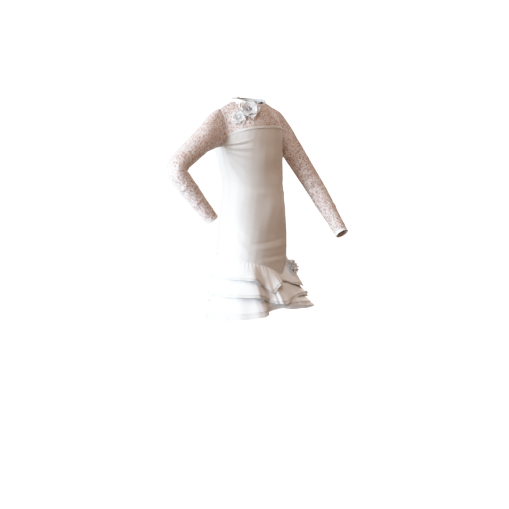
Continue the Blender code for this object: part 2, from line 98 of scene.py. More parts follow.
def sheathPoint(facing, across, level):
    low = sheathSizes["armpit"]
    rise = np.maximum(level - low, 0) / (sheathSizes["chestSeam"] - low)
    height = level - sheathSizes["chestDip"] * rise * np.abs(across) ** 2.5
    turn = across * (armholeTurn(height) - seamGap / figureAt("halfWidth", height))
    return torsoPoint(turn if facing > 0 else math.pi - turn, height)


def bezier(a, b, c, d, t):
    return a * (1 - t) ** 3 + 3 * b * t * (1 - t) ** 2 + 3 * c * t**2 * (1 - t) + d * t**3


def necklinePoint(turn):
    facing = np.cos(turn)
    depth = np.where(facing > 0, neckSizes["front"], neckSizes["back"])
    end = np.where(facing > 0, neckSizes["frontHeight"], neckSizes["backHeight"])
    height = neckSizes["sideHeight"] + (end - neckSizes["sideHeight"]) * facing**2
    return np.stack([neckSizes["halfWidth"] * np.sin(turn), -depth * facing, height], axis=-1)


def yokeTop(across, facing):
    side, reach = np.sign(across), np.abs(across)
    part = np.clip(reach / neckSizes["share"], 0, 1) * math.pi / 2
    neck = necklinePoint(side * part if facing > 0 else math.pi - side * part)
    along = np.clip((reach - neckSizes["share"]) / (1 - neckSizes["share"]), 0, 1)[..., None]
    tip, none = neckSizes["shoulderTip"], 0 * across
    start = np.stack([side * neckSizes["halfWidth"], none, neckSizes["sideHeight"] + none], axis=-1)
    end = np.stack([side * tip[0], tip[1] + none, tip[2] + none], axis=-1)
    slope = start + (end - start) * along
    slope[..., 2] += 0.003 * np.sin(math.pi * along[..., 0])
    top = np.where(reach[..., None] <= neckSizes["share"], neck, slope)
    top[..., 1] -= facing * seamGap * np.clip(4 * reach - 1.6, 0, 1)
    return top


def yokePoint(facing, across, rise):
    base = sheathPoint(facing, across, sheathSizes["chestSeam"] + 0 * across)
    top, reach = yokeTop(across, facing), np.abs(across)
    lower = base + np.stack([0.002 * across, facing * 0.002 + 0 * across, 0.026 - 0.008 * reach], axis=-1)
    lean = facing * (0.013 + 0.010 * reach)
    upper = top + np.stack([0.004 * across**3, -lean, -0.014 + 0.010 * reach], axis=-1)
    return bezier(base, lower, upper, top, rise[..., None])


# Making cloth: a grid is added, bent to its form, given its flat size as UV and then a thickness.
def deselect():
    for thing in bpy.context.selected_objects:
        thing.select_set(False)


def outwardOf(points, closed):
    wide = np.concatenate([points[:, -2:-1], points, points[:, 1:2]], axis=1) if closed else points
    across = np.gradient(wide, axis=1)
    if closed:
        across = across[:, 1:-1]
    normal = np.cross(across, np.gradient(points, axis=0))
    return normal / np.maximum(np.linalg.norm(normal, axis=-1, keepdims=True), 1e-12)


def flatSizes(points):
    steps = np.linalg.norm(np.diff(points, axis=1), axis=2)
    run = np.concatenate([np.zeros((len(points), 1)), np.cumsum(steps, axis=1)], axis=1)
    u = run - run[:, -1:] / 2
    middle = points.shape[1] // 2
    rise = np.linalg.norm(np.diff(points[:, middle], axis=0), axis=1)
    v = np.concatenate([[0], np.cumsum(rise)])
    return u, np.repeat(v[:, None], points.shape[1], axis=1)


def bentGrid(name, points):
    rows, columns = points.shape[:2]
    deselect()
    bpy.ops.mesh.primitive_grid_add(x_subdivisions=columns - 1, y_subdivisions=rows - 1)
    piece = bpy.context.object
    piece.name = piece.data.name = name
    piece.data.vertices.foreach_set("co", points.astype(np.float32).ravel())
    return piece


def closeSeam(capped):
    bpy.ops.object.mode_set(mode="EDIT")
    bpy.ops.mesh.select_all(action="SELECT")
    bpy.ops.mesh.remove_doubles(threshold=0.00001)
    if capped:
        bpy.ops.mesh.fill_holes(sides=0)
        bpy.ops.mesh.select_all(action="SELECT")
        bpy.ops.mesh.normals_make_consistent(inside=False)
    bpy.ops.object.mode_set(mode="OBJECT")


def sewSheet(name, points, finish, thick, closed=False, rim=None):
    piece = bentGrid(name, points)
    mesh = piece.data
    if rim is not None:
        shares = mesh.attributes.new("rim", "FLOAT", "POINT")
        shares.data.foreach_set("value", rim.astype(np.float32).ravel())
    u, v = flatSizes(points)
    index = np.empty(len(mesh.loops), np.int32)
    mesh.loops.foreach_get("vertex_index", index)
    flat = np.stack([u.ravel()[index], v.ravel()[index]], axis=1)
    mesh.uv_layers.active.data.foreach_set("uv", flat.astype(np.float32).ravel())
    mesh.update()
    if closed:
        closeSeam(capped=False)
    wall = piece.modifiers.new("thickness", "SOLIDIFY")
    wall.thickness, wall.offset = thick, -1
    bpy.ops.object.modifier_apply(modifier=wall.name)
    bpy.ops.object.shade_smooth_by_angle(angle=math.radians(60))
    mesh.materials.append(finish)
    facets = np.cross(np.diff(points[:-1], axis=1), np.diff(points[:, :-1], axis=0))
    area = float(np.linalg.norm(facets, axis=2).sum())
    width = float((u[:, -1] - u[:, 0]).max())
    height = float(v.max())
    return piece, (width, height), area


def unitRows(vectors):
    return vectors / np.linalg.norm(vectors, axis=1, keepdims=True)


def runLength(path):
    return np.concatenate([[0], np.cumsum(np.linalg.norm(np.diff(path, axis=0), axis=1))])


# A cord sewn down along a path. It swells a little once a pitch, as stitches and twisted cord do.
def cordAlong(path, outward, radius, pitch, swell, around=10, closed=True):
    if closed:
        ways = np.roll(path, -1, axis=0) - np.roll(path, 1, axis=0)
        run = runLength(np.vstack([path, path[:1]]))[:-1]
    else:
        ways = np.gradient(path, axis=0)
        run = runLength(path)
    ways = unitRows(ways)
    outward = unitRows(outward - ways * np.sum(outward * ways, axis=1, keepdims=True))
    sideways = np.cross(ways, outward)
    turn = np.linspace(0, 2 * math.pi, around + 1)[None, :, None]
    thick = radius * (1 + swell * np.cos(2 * math.pi * run / pitch))
    ring = outward[:, None] * np.cos(turn) + sideways[:, None] * np.sin(turn)
    points = path[:, None] + ring * thick[:, None, None]
    return np.concatenate([points, points[:1]]) if closed else points


def sewCord(name, points, finish, slotName, sheetName):
    cord = bentGrid(name, points)
    cord.data.update()
    closeSeam(capped=True)
    bpy.ops.object.shade_smooth()
    cord.data.materials.append(finish)
    fastened(cord, slotName)
    sewnOn(cord, sheetName)


def meshFrom(rows, columns, lowU, highU, lowV, highV):
    return np.meshgrid(np.linspace(lowU, highU, columns), np.linspace(lowV, highV, rows))


sewnSheets = []


def fastened(piece, slotName, *nodes):
    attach(piece, "root")
    if nodes:
        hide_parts(*nodes)


def dressPiece(piece, node, slotName, size, area, held, restsOn=()):
    fastened(piece, slotName, node)
    sewnSheets.append({"piece": piece, "size": size, "area": min(area, size[0] * size[1]), "held": held,
                       "restsOn": list(restsOn), "trims": []})


def sewnOn(trim, sheetName):
    for cut in sewnSheets:
        if cut["piece"].name == sheetName:
            cut["trims"].append(trim)


def sewTrim(name, points, finish, thick, slotName, node, sheetName, closed=False):
    trim, _, _ = sewSheet(name, points, finish, thick, closed)
    fastened(trim, slotName, node)
    sewnOn(trim, sheetName)


# Shader maths: a value that can be added, multiplied and so on, each step one node.
class Shade:
    def __init__(self, tree, socket):
        self.tree, self.socket = tree, socket

    def maths(self, operation, *others):
        node = self.tree.nodes.new("ShaderNodeMath")
        node.operation = operation
        for slot, value in zip(node.inputs, (self, *others)):
            if isinstance(value, Shade):
                self.tree.links.new(value.socket, slot)
            else:
                slot.default_value = value
        return Shade(self.tree, node.outputs[0])

    def flipped(self, operation, other):
        node = self.tree.nodes.new("ShaderNodeMath")
        node.operation = operation
        node.inputs[0].default_value = other
        self.tree.links.new(self.socket, node.inputs[1])
        return Shade(self.tree, node.outputs[0])

    def __add__(self, other):
        return self.maths("ADD", other)

    def __radd__(self, other):
        return self.maths("ADD", other)

    def __sub__(self, other):
        return self.maths("SUBTRACT", other)

    def __rsub__(self, other):
        return self.flipped("SUBTRACT", other)

    def __mul__(self, other):
        return self.maths("MULTIPLY", other)

    def __rmul__(self, other):
        return self.maths("MULTIPLY", other)

    def __truediv__(self, other):
        return self.maths("DIVIDE", other)

    def __pow__(self, other):
        return self.maths("POWER", other)

    def clipped(self, low, high):
        return ((self - low) / (high - low)).maths("MAXIMUM", 0.0).maths("MINIMUM", 1.0)

    def orMore(self, other):
        return self.maths("MAXIMUM", other)

    def orLess(self, other):
        return self.maths("MINIMUM", other)

    def sine(self):
        return self.maths("SINE")

    def size(self):
        return self.maths("ABSOLUTE")


class Paint:
    def __init__(self, name):
        self.material = bpy.data.materials.new(name)
        self.material.use_nodes = True
        self.tree = self.material.node_tree
        self.shader = self.tree.nodes["Principled BSDF"]

    def node(self, kind, settings=(), **sockets):
        made = self.tree.nodes.new(kind)
        for key, value in dict(settings).items():
            setattr(made, key, value)
        for key, value in sockets.items():
            self.join(value, made.inputs[key.replace("_", " ")])
        return made

    def join(self, value, socket):
        if isinstance(value, Shade):
            self.tree.links.new(value.socket, socket)
        elif isinstance(value, bpy.types.NodeSocket):
            self.tree.links.new(value, socket)
        else:
            socket.default_value = value

    def shade(self, node, output):
        return Shade(self.tree, node.outputs[output])

    def objectCoords(self):
        return self.node("ShaderNodeTexCoord").outputs["Object"]

    def flatCoords(self):
        return self.node("ShaderNodeUVMap", {"uv_map": "UVMap"}).outputs["UV"]

    def parts(self, vector):
        made = self.node("ShaderNodeSeparateXYZ", Vector=vector)
        return [self.shade(made, axis) for axis in ("X", "Y", "Z")]

    def mixed(self, factor, a, b):
        made = self.node("ShaderNodeMix", {"data_type": "RGBA"})
        self.join(factor, made.inputs[0])
        self.join(a, made.inputs[6])
        self.join(b, made.inputs[7])
        return made.outputs[2]

    def scaled(self, vector, factors):
        made = self.node("ShaderNodeVectorMath", {"operation": "MULTIPLY"})
        self.join(vector, made.inputs[0])
        made.inputs[1].default_value = factors
        return made.outputs[0]

    def noise(self, vector, scale, detail):
        return self.shade(self.node("ShaderNodeTexNoise", Vector=vector, Scale=scale, Detail=detail), "Fac")

    def cells(self, vector, scale, feature, spread):
        return self.node("ShaderNodeTexVoronoi", {"feature": feature}, Vector=vector, Scale=scale,
                         Randomness=spread)

    def bump(self, height, strength, distance):
        made = self.node("ShaderNodeBump", Height=height, Strength=strength, Distance=distance)
        self.join(made.outputs[0], self.shader.inputs["Normal"])

    def finish(self, **sockets):
        for key, value in sockets.items():
            self.join(value, self.shader.inputs[key.replace("_", " ")])
        return self.material


# Soft troughs and ridges as listed: start, end, width and depth, all in metres on the cloth.
def foldRelief(u, v, folds):
    relief = 0 * u
    for startU, startV, endU, endV, width, depth in folds:
        wayU, wayV = endU - startU, endV - startV
        length = math.hypot(wayU, wayV)
        along = ((u - startU) * wayU + (v - startV) * wayV) / length**2
        off = ((u - startU) * wayV - (v - startV) * wayU) / length
        off = off + 0.12 * length * (along - 0.5) ** 2
        fade = np.clip(1.3 - np.abs(2 * along - 1), 0, 1)
        relief = relief + depth * np.exp(-((off / width) ** 2)) * fade**2 * (3 - 2 * fade)
    return relief


def tinySlack(u, v, depth, seed):
    waves = np.sin(71 * u + 23 * v + seed) * np.sin(37 * v - 29 * u + 2.1 * seed)
    return depth * (waves + 0.6 * np.sin(113 * v + 47 * u + 0.7 * seed))


def raised(points, relief, closed=False):
    return points + outwardOf(points, closed) * relief[..., None]


# Materials: white stretch satin, lace on a warm net, stiff net braid, organza, grey stone.
# How often each weave's thread comes round, in radians a metre.
weaves = {"satin": 5200.0, "braid": 3900.0, "organza": 4200.0}


def satinFinish(name, low, high):
    paint = Paint(name)
    flat = paint.flatCoords()
    u, v, _ = paint.parts(flat)
    weave = (u * weaves["satin"]).sine() * (v * weaves["satin"]).sine() * 0.5 + 0.5
    slub = paint.noise(paint.scaled(flat, (60.0, 900.0, 1.0)), 1.0, 3.0)
    cloud = paint.noise(paint.objectCoords(), 14.0, 3.0)
    tone = (cloud * 0.5 + slub * 0.3 + weave * 0.2).clipped(0.25, 0.75)
    paint.bump(weave * 0.5 + slub * 0.7, 0.22, 0.00012)
    return paint.finish(Base_Color=paint.mixed(tone, low, high), Roughness=0.36 + 0.10 * slub,
                        Sheen_Weight=0.25, Sheen_Roughness=0.3, Specular_IOR_Level=0.55)


# The sheath satin is darker and warmer than the flounce and trim satin. This is partly for the skin that
# shows through the stretched cloth and partly painted shade. The flounce and trim satin is whiter, partly
# as painted light on the flounces.
satin = satinFinish("white stretch satin", (0.76, 0.74, 0.715, 1), (0.84, 0.825, 0.80, 1))
whiteAndLitSatin = satinFinish("flounce and trim satin", (0.87, 0.87, 0.87, 1), (0.95, 0.95, 0.95, 1))

# The lace's sizes in metres: a bloom, a leaf, a stem's cell, a net cell and the drift of dense lace.
laceSizes = {"bloom": 0.0068, "petals": 6, "leaf": 0.0036, "stem": 1 / 190, "net": 0.0009, "drift": 0.020}


def laceFinish(name, netTint, threadTint):
    paint = Paint(name)
    flat = paint.flatCoords()
    size = 1 / laceSizes["bloom"]
    blooms = paint.cells(flat, size, "F1", 0.9)
    fromMiddle = paint.node("ShaderNodeVectorMath", {"operation": "SUBTRACT"})
    paint.join(flat, fromMiddle.inputs[0])
    paint.join(blooms.outputs["Position"], fromMiddle.inputs[1])
    x, y, _ = paint.parts(fromMiddle.outputs[0])
    reach = (x * x + y * y) ** 0.5 * size
    turn = y.maths("ARCTAN2", x)
    pick, spin, _ = paint.parts(blooms.outputs["Color"])
    petals = (turn * (laceSizes["petals"] / 2) + spin * 6.28).sine().size()
    edge = 0.15 + 0.28 * petals + 0.15 * pick
    bloom = ((edge - reach) * 11.0).clipped(0.0, 1.0)
    heart = ((0.08 - reach) * 30.0).clipped(0.0, 1.0)
    veins = (turn * laceSizes["petals"] + spin * 12.56 + 1.57).sine().size()
    worked = bloom * (0.50 + 0.50 * veins) * (1 - 0.9 * heart)
    leaves = paint.cells(paint.scaled(flat, (1.0, 0.5, 1.0)), 1 / laceSizes["leaf"], "F1", 1.0)
    leaf = ((0.34 - paint.shade(leaves, "Distance")) * 12.0).clipped(0.0, 1.0)
    stemLines = paint.cells(flat, 1 / laceSizes["stem"], "DISTANCE_TO_EDGE", 1.0)
    stem = ((0.075 - paint.shade(stemLines, "Distance")) * 30.0).clipped(0.0, 1.0)
    cloud = paint.noise(flat, 1 / laceSizes["drift"], 2.0)
    dense = cloud.clipped(0.38, 0.62)
    motif = worked.orMore(leaf * 0.90 * dense).orMore(stem * 0.85)
    holes = paint.cells(flat, 1 / laceSizes["net"], "DISTANCE_TO_EDGE", 0.35)
    net = ((0.15 - paint.shade(holes, "Distance")) * 10.0).clipped(0.0, 1.0)
    thread = motif.orMore((0.22 + 0.36 * dense) * net)
    ground = paint.mixed(dense, [c * 0.82 for c in netTint[:3]] + [1], netTint)
    paint.bump(thread, 0.7, 0.0005)
    return paint.finish(Base_Color=paint.mixed(thread, ground, threadTint), Roughness=0.80 - 0.18 * motif,
                        Sheen_Weight=0.10, Sheen_Roughness=0.5)


lace = laceFinish("white lace on warm net", (0.52, 0.255, 0.185, 1), (0.98, 0.965, 0.96, 1))


def braidFinish(name):
    paint = Paint(name)
    u, v, _ = paint.parts(paint.flatCoords())
    slanted = ((u + v) * weaves["braid"]).sine().size()
    crossing = slanted.orMore(((u - v) * weaves["braid"]).sine().size())
    thread = crossing.clipped(0.80, 0.98)
    colour = paint.mixed(thread, (0.78, 0.77, 0.77, 1), (0.90, 0.89, 0.89, 1))
    paint.bump(thread, 0.4, 0.0002)
    return paint.finish(Base_Color=colour, Alpha=0.74 + 0.26 * thread, Roughness=0.38,
                        Specular_IOR_Level=0.6)


hemBraid = braidFinish("hem braid net")


def organzaFinish(name):
    paint = Paint(name)
    u, v, _ = paint.parts(paint.flatCoords())
    weave = (u * weaves["organza"]).sine().size().orMore((v * weaves["organza"]).sine().size())
    cloud = paint.noise(paint.objectCoords(), 260.0, 2.0)
    nearRim = paint.node("ShaderNodeAttribute", {"attribute_name": "rim"})
    rim = paint.shade(nearRim, "Fac").clipped(0.35, 0.9)
    tone = (cloud * 0.6 + rim).clipped(0.3, 0.9)
    colour = paint.mixed(tone, (0.76, 0.745, 0.74, 1), (0.95, 0.945, 0.94, 1))
    paint.bump(weave, 0.2, 0.0001)
    return paint.finish(Base_Color=colour, Alpha=(0.60 + 0.2 * weave + 0.3 * rim).orLess(1.0),
                        Roughness=0.34, Sheen_Weight=0.2)


organza = organzaFinish("crisp organza")


def plainFinish(name, low, high, roughness, metallic=0.0):
    paint = Paint(name)
    speck = paint.noise(paint.objectCoords(), 420.0, 2.0)
    return paint.finish(Base_Color=paint.mixed(speck.clipped(0.3, 0.7), low, high),
                        Roughness=roughness + 0.08 * speck, Metallic=metallic, Specular_IOR_Level=0.7)


thread = plainFinish("white thread", (0.84, 0.83, 0.82, 1), (0.90, 0.90, 0.89, 1), 0.55)
greyStone = plainFinish("grey stone", (0.30, 0.32, 0.36, 1), (0.62, 0.64, 0.68, 1), 0.08, 0.55)
buttonSatin = plainFinish("covered button", (0.80, 0.79, 0.77, 1), (0.87, 0.86, 0.85, 1), 0.34)
print("finishes made")

# Sheath: two panels, drag folds from the armpits, slack at the waist and faint hip creases.
sheath = {
    "front": (130, 190), "back": (110, 140), "thick": 0.0010, "slack": 0.00016, "halfArc": 0.135,
    "frontFolds": (
        (-0.020, -0.285, 0.045, -0.300, 0.0380, 0.0042), (-0.020, -0.192, 0.060, -0.188, 0.0260, -0.0026),
        (-0.030, -0.372, 0.060, -0.362, 0.0200, -0.0022), (-0.030, -0.150, 0.030, -0.152, 0.0260, 0.0018),
        (-0.170, -0.121, -0.048, -0.106, 0.0031, 0.0023), (-0.168, -0.120, -0.050, -0.118, 0.0028, -0.0028),
        (-0.168, -0.120, -0.042, -0.131, 0.0031, 0.0028), (-0.166, -0.119, -0.052, -0.143, 0.0028, -0.0029),
        (-0.164, -0.118, -0.050, -0.157, 0.0033, 0.0026), (-0.162, -0.116, -0.066, -0.166, 0.0028, -0.0026),
        (-0.160, -0.112, -0.074, -0.184, 0.0035, 0.0025), (-0.156, -0.106, -0.090, -0.192, 0.0029, -0.0022),
        (-0.150, -0.100, -0.098, -0.214, 0.0041, 0.0020), (-0.142, -0.104, -0.116, -0.206, 0.0031, -0.0017),
        (0.162, -0.118, 0.056, -0.140, 0.0033, -0.0022), (0.160, -0.118, 0.060, -0.156, 0.0035, 0.0020),
        (0.156, -0.112, 0.080, -0.176, 0.0037, -0.0020), (0.150, -0.104, 0.092, -0.200, 0.0041, 0.0017),
        (-0.105, -0.228, -0.020, -0.240, 0.0070, -0.0011), (-0.095, -0.247, 0.010, -0.254, 0.0075, 0.0010),
        (0.095, -0.224, 0.020, -0.236, 0.0070, -0.0011), (0.100, -0.250, 0.040, -0.262, 0.0070, 0.0010),
        (-0.070, -0.392, 0.050, -0.378, 0.0060, -0.0013), (-0.060, -0.405, 0.065, -0.396, 0.0055, 0.0011),
        (-0.040, -0.428, 0.060, -0.424, 0.0055, -0.0011), (-0.030, -0.441, 0.075, -0.434, 0.0050, 0.0010),
        (-0.120, -0.360, -0.060, -0.420, 0.0080, 0.0011), (-0.128, -0.330, -0.080, -0.372, 0.0080, -0.0010),
    ),
    "backFolds": (
        (-0.128, -0.128, -0.060, -0.176, 0.0060, -0.0017),
        (-0.122, -0.116, -0.045, -0.148, 0.0050, 0.0013),
        (0.130, -0.130, 0.066, -0.182, 0.0060, -0.0018),
        (0.124, -0.119, 0.048, -0.152, 0.0050, 0.0014),
        (-0.070, -0.236, 0.030, -0.228, 0.0065, -0.0014),
        (-0.030, -0.250, 0.075, -0.244, 0.0060, -0.0013),
        (-0.060, -0.266, 0.040, -0.262, 0.0065, 0.0010),
        (-0.090, -0.220, 0.000, -0.212, 0.0060, 0.0009),
        (-0.060, -0.415, 0.060, -0.424, 0.0060, -0.0009),
    ),
}


def makeSheath():
    top = sheathSizes["chestSeam"] - seamGap / 2
    for name, facing in (("front", 1), ("back", -1)):
        columns, rows = sheath[name]
        across, level = np.meshgrid(np.linspace(-1, 1, columns), np.linspace(sheathSizes["end"], top, rows))
        if facing < 0:
            across = across[:, ::-1]
        arc = across * sheath["halfArc"]
        edge = np.clip((1 - np.abs(across)) * 9, 0, 1)
        relief = foldRelief(arc, level, sheath[name + "Folds"])
        relief = (relief + tinySlack(arc * 3, level * 3, sheath["slack"], 2.0 + facing)) * edge
        points = raised(sheathPoint(facing, across, level), relief)
        piece, size, area = sewSheet("sheath_" + name, points, satin, sheath["thick"])
        dressPiece(piece, "body_" + name, "satin", size, area, "stretched")


makeSheath()
print("sheath sewn")

# Yoke: one front, two back halves parted by the keyhole under the button.
yoke = {"front": (110, 40), "half": (56, 40), "thick": 0.0007, "slack": 0.00020, "lowest": 0.004,
        "highest": 0.994, "parting": 0.006}


def frontYoke(u, v):
    return yokePoint(1, u, v)


def partedYoke(u, v):
    opening = neckSizes["keyhole"] * np.sin(math.pi * np.clip(v, 0, 1)) ** 1.5
    return yokePoint(-1, u + np.sign(u) * opening * (1 - np.abs(u)), v)


def makeYokePiece(name, surface, grid, low, high, seed):
    columns, rows = yoke[grid]
    u, v = meshFrom(rows, columns, low, high, yoke["lowest"], yoke["highest"])
    slack = tinySlack(u * 0.4, v * 0.25, yoke["slack"], seed) * np.clip((1 - np.abs(u)) * 8, 0, 1)
    points = raised(surface(u, v), slack * np.sin(math.pi * v))
    piece, size, area = sewSheet("yoke_lace_" + name, points, lace, yoke["thick"])
    dressPiece(piece, "yoke_" + name, "lace", size, area, "stretched")


makeYokePiece("front", frontYoke, "front", -1, 1, 1.0)
makeYokePiece("back_left", partedYoke, "half", 1, yoke["parting"], 3.0)
makeYokePiece("back_right", partedYoke, "half", -yoke["parting"], -1, 3.0)

# Chest bands: a narrow folded strip over the seam of sheath and yoke, slightly gathered.
chestBand = {"half": 0.0032, "end": 0.985, "thick": 0.0009, "columns": 150, "rows": 9,
             "lift": seamGap + 0.0008, "puff": 0.0007, "gather": 0.00012, "yokeDepth": 0.07,
             "stitches": 0.0021, "stitchEnd": 0.98, "stitchColumns": 420}


def chestPoint(facing, u, v):
    low = sheathPoint(facing, u, sheathSizes["chestSeam"] + np.minimum(v, 0))
    high = yokePoint(facing, u, np.maximum(v, 0) / chestBand["yokeDepth"])
    return np.where(v[..., None] < 0, low, high)


def makeChestBands():
    half = chestBand["half"]
    for name, facing in (("front", 1), ("back", -1)):
        end = facing * chestBand["end"]
        u, v = meshFrom(chestBand["rows"], chestBand["columns"], -end, end, -half, half)
        puff = chestBand["puff"] * (1 - (v / half) ** 4)
        gathers = chestBand["gather"] * np.sin(190 * u) * (v / half)
        points = raised(chestPoint(facing, u, v), chestBand["lift"] + puff + gathers)
        sewTrim("chest_band_satin_" + name, points, whiteAndLitSatin, chestBand["thick"], "satin",
                "chest_band_" + name, "sheath_" + name)


makeChestBands()

# Neck binding: a folded satin edge, open at the middle of the back.
neckBinding = {"columns": 160, "rows": 9, "tuck": -0.34, "thick": 0.0012, "puff": 0.0009, "crease": 0.00015,
               "parting": 0.035, "stitchRise": 0.22, "stitchColumns": 620, "stitchEnd": 0.02}


def bindingPoint(turn, rise):
    edge = necklinePoint(turn)
    edge[..., 2] += seamGap * 3 + rise * neckSizes["bindingHeight"]
    edge[..., :2] *= 1 - neckSizes["bindingLean"] * rise[..., None]
    return edge


def makeBinding():
    end = math.pi - neckBinding["parting"]
    turn, rise = meshFrom(neckBinding["rows"], neckBinding["columns"], -end, end, neckBinding["tuck"], 1)
    puff = neckBinding["puff"] * (1 - (2 * np.maximum(rise, 0) - 1) ** 4)
    puff = puff + neckBinding["crease"] * np.sin(46 * turn + 3 * rise)
    points = raised(bindingPoint(turn, rise), puff)
    sewTrim("neck_binding_satin", points, whiteAndLitSatin, neckBinding["thick"], "satin", "neck_binding",
            "yoke_lace_front")


makeBinding()
print("yoke, bands and binding sewn")

# Sleeves: lace tubes from the armholes, over the bent elbows, to the cuffs.
# A fold runs from one angle and share of the length to another, with its width and depth in metres.
sleeveShape = {
    "shares": (0.0, 0.18, 0.36, 0.52, 0.60, 0.72, 0.86, 1.0),
    "radii": (0.0400, 0.0315, 0.0290, 0.0270, 0.0262, 0.0244, 0.0205, 0.0178),
    "shoulder": (0.104, 0.000, -0.059), "cuff": 0.009, "elbowBend": 0.036, "capReach": 0.100,
    "around": 72, "along": 230, "thick": 0.0007, "slack": 0.00022, "meanRadius": 0.026,
    "cuffThick": 0.0012, "cuffPuff": 0.0005, "cuffRows": 7, "cuffStitches": 0.78, "stitchColumns": 150,
    "sheathRows": 12, "yokeRows": 14, "yokeStart": 0.04, "runSteps": 60, "formSteps": 200,
}
arms = {
    "right": {
        "side": -1, "elbow": (-0.290, -0.017, -0.176), "wrist": (-0.186, -0.053, -0.314),
        "folds": (
            (-70, 0.115, 60, 0.150, 0.0038, -0.0020), (-60, 0.138, 75, 0.176, 0.0034, 0.0018),
            (-75, 0.164, 60, 0.198, 0.0036, -0.0021), (-55, 0.188, 80, 0.222, 0.0034, 0.0017),
            (-70, 0.214, 55, 0.244, 0.0038, -0.0018), (-50, 0.238, 75, 0.268, 0.0036, 0.0014),
            (-60, 0.266, 50, 0.292, 0.0040, -0.0013), (10, 0.02, 120, 0.115, 0.0034, -0.0017),
            (28, 0.015, 150, 0.120, 0.0034, 0.0016), (46, 0.01, 170, 0.090, 0.0036, -0.0014),
            (-12, 0.03, -120, 0.125, 0.0036, -0.0015), (-30, 0.02, -150, 0.110, 0.0038, 0.0013),
            (-75, 0.470, 70, 0.486, 0.0044, 0.0012), (-80, 0.500, 80, 0.514, 0.0042, -0.0022),
            (-65, 0.530, 85, 0.540, 0.0038, 0.0018), (-85, 0.556, 70, 0.566, 0.0042, -0.0021),
            (-60, 0.585, 90, 0.598, 0.0040, 0.0015), (-80, 0.615, 60, 0.632, 0.0046, -0.0015),
            (100, 0.660, 220, 0.700, 0.0050, -0.0011), (-60, 0.720, 80, 0.745, 0.0046, -0.0012),
            (40, 0.800, 190, 0.825, 0.0046, -0.0010), (-100, 0.860, 40, 0.880, 0.0042, 0.0009),
            (-30, 0.925, 130, 0.940, 0.0038, -0.0010), (90, 0.950, 250, 0.962, 0.0036, 0.0008),
        ),
    },
    "left": {
        "side": 1, "elbow": (0.185, -0.083, -0.243), "wrist": (0.181, -0.190, -0.368),
        "folds": (
            (-50, 0.10, 60, 0.16, 0.0060, -0.0020), (-40, 0.15, 70, 0.21, 0.0055, 0.0015),
            (30, 0.08, 130, 0.19, 0.0060, -0.0013), (-30, 0.23, 60, 0.29, 0.0060, -0.0013),
            (10, 0.53, 150, 0.56, 0.0050, -0.0018), (0, 0.575, 140, 0.60, 0.0050, 0.0014),
            (20, 0.62, 160, 0.63, 0.0050, -0.0015), (0, 0.49, 120, 0.50, 0.0050, 0.0012),
            (-120, 0.68, 20, 0.71, 0.0055, -0.0011), (60, 0.76, 200, 0.78, 0.0050, -0.0011),
            (-80, 0.86, 60, 0.88, 0.0045, 0.0009), (40, 0.93, 190, 0.94, 0.0040, -0.0009),
        ),
    },
}


def unitVector(vector):
    return vector / np.linalg.norm(vector)


def acrossAndUp(facing):
    side = unitVector(np.cross((0.0, 0.0, 1.0), facing))
    return side, np.cross(facing, side)


# The turn that takes one unit vector onto another.
def turnBetween(a, b):
    axis, cosine = np.cross(a, b), float(np.dot(a, b))
    skew = np.array([[0, -axis[2], axis[1]], [axis[2], 0, -axis[0]], [-axis[1], axis[0], 0]])
    return np.eye(3) + skew + skew @ skew / (1 + cosine)


def readAlong(at, knots, rows):
    return np.stack([np.interp(at, knots, rows[:, k]) for k in range(3)], axis=-1)


def armholeEdge(side):
    heights = np.linspace(sheathSizes["armpit"], sheathSizes["chestSeam"], sleeveShape["sheathRows"])
    rises = np.linspace(sleeveShape["yokeStart"], 1, sleeveShape["yokeRows"])
    front, back = [np.vstack([sheathPoint(facing, side + 0 * heights, heights),
                              yokePoint(facing, side + 0 * rises, rises)]) for facing in (1, -1)]
    return np.vstack([front, back[::-1]])


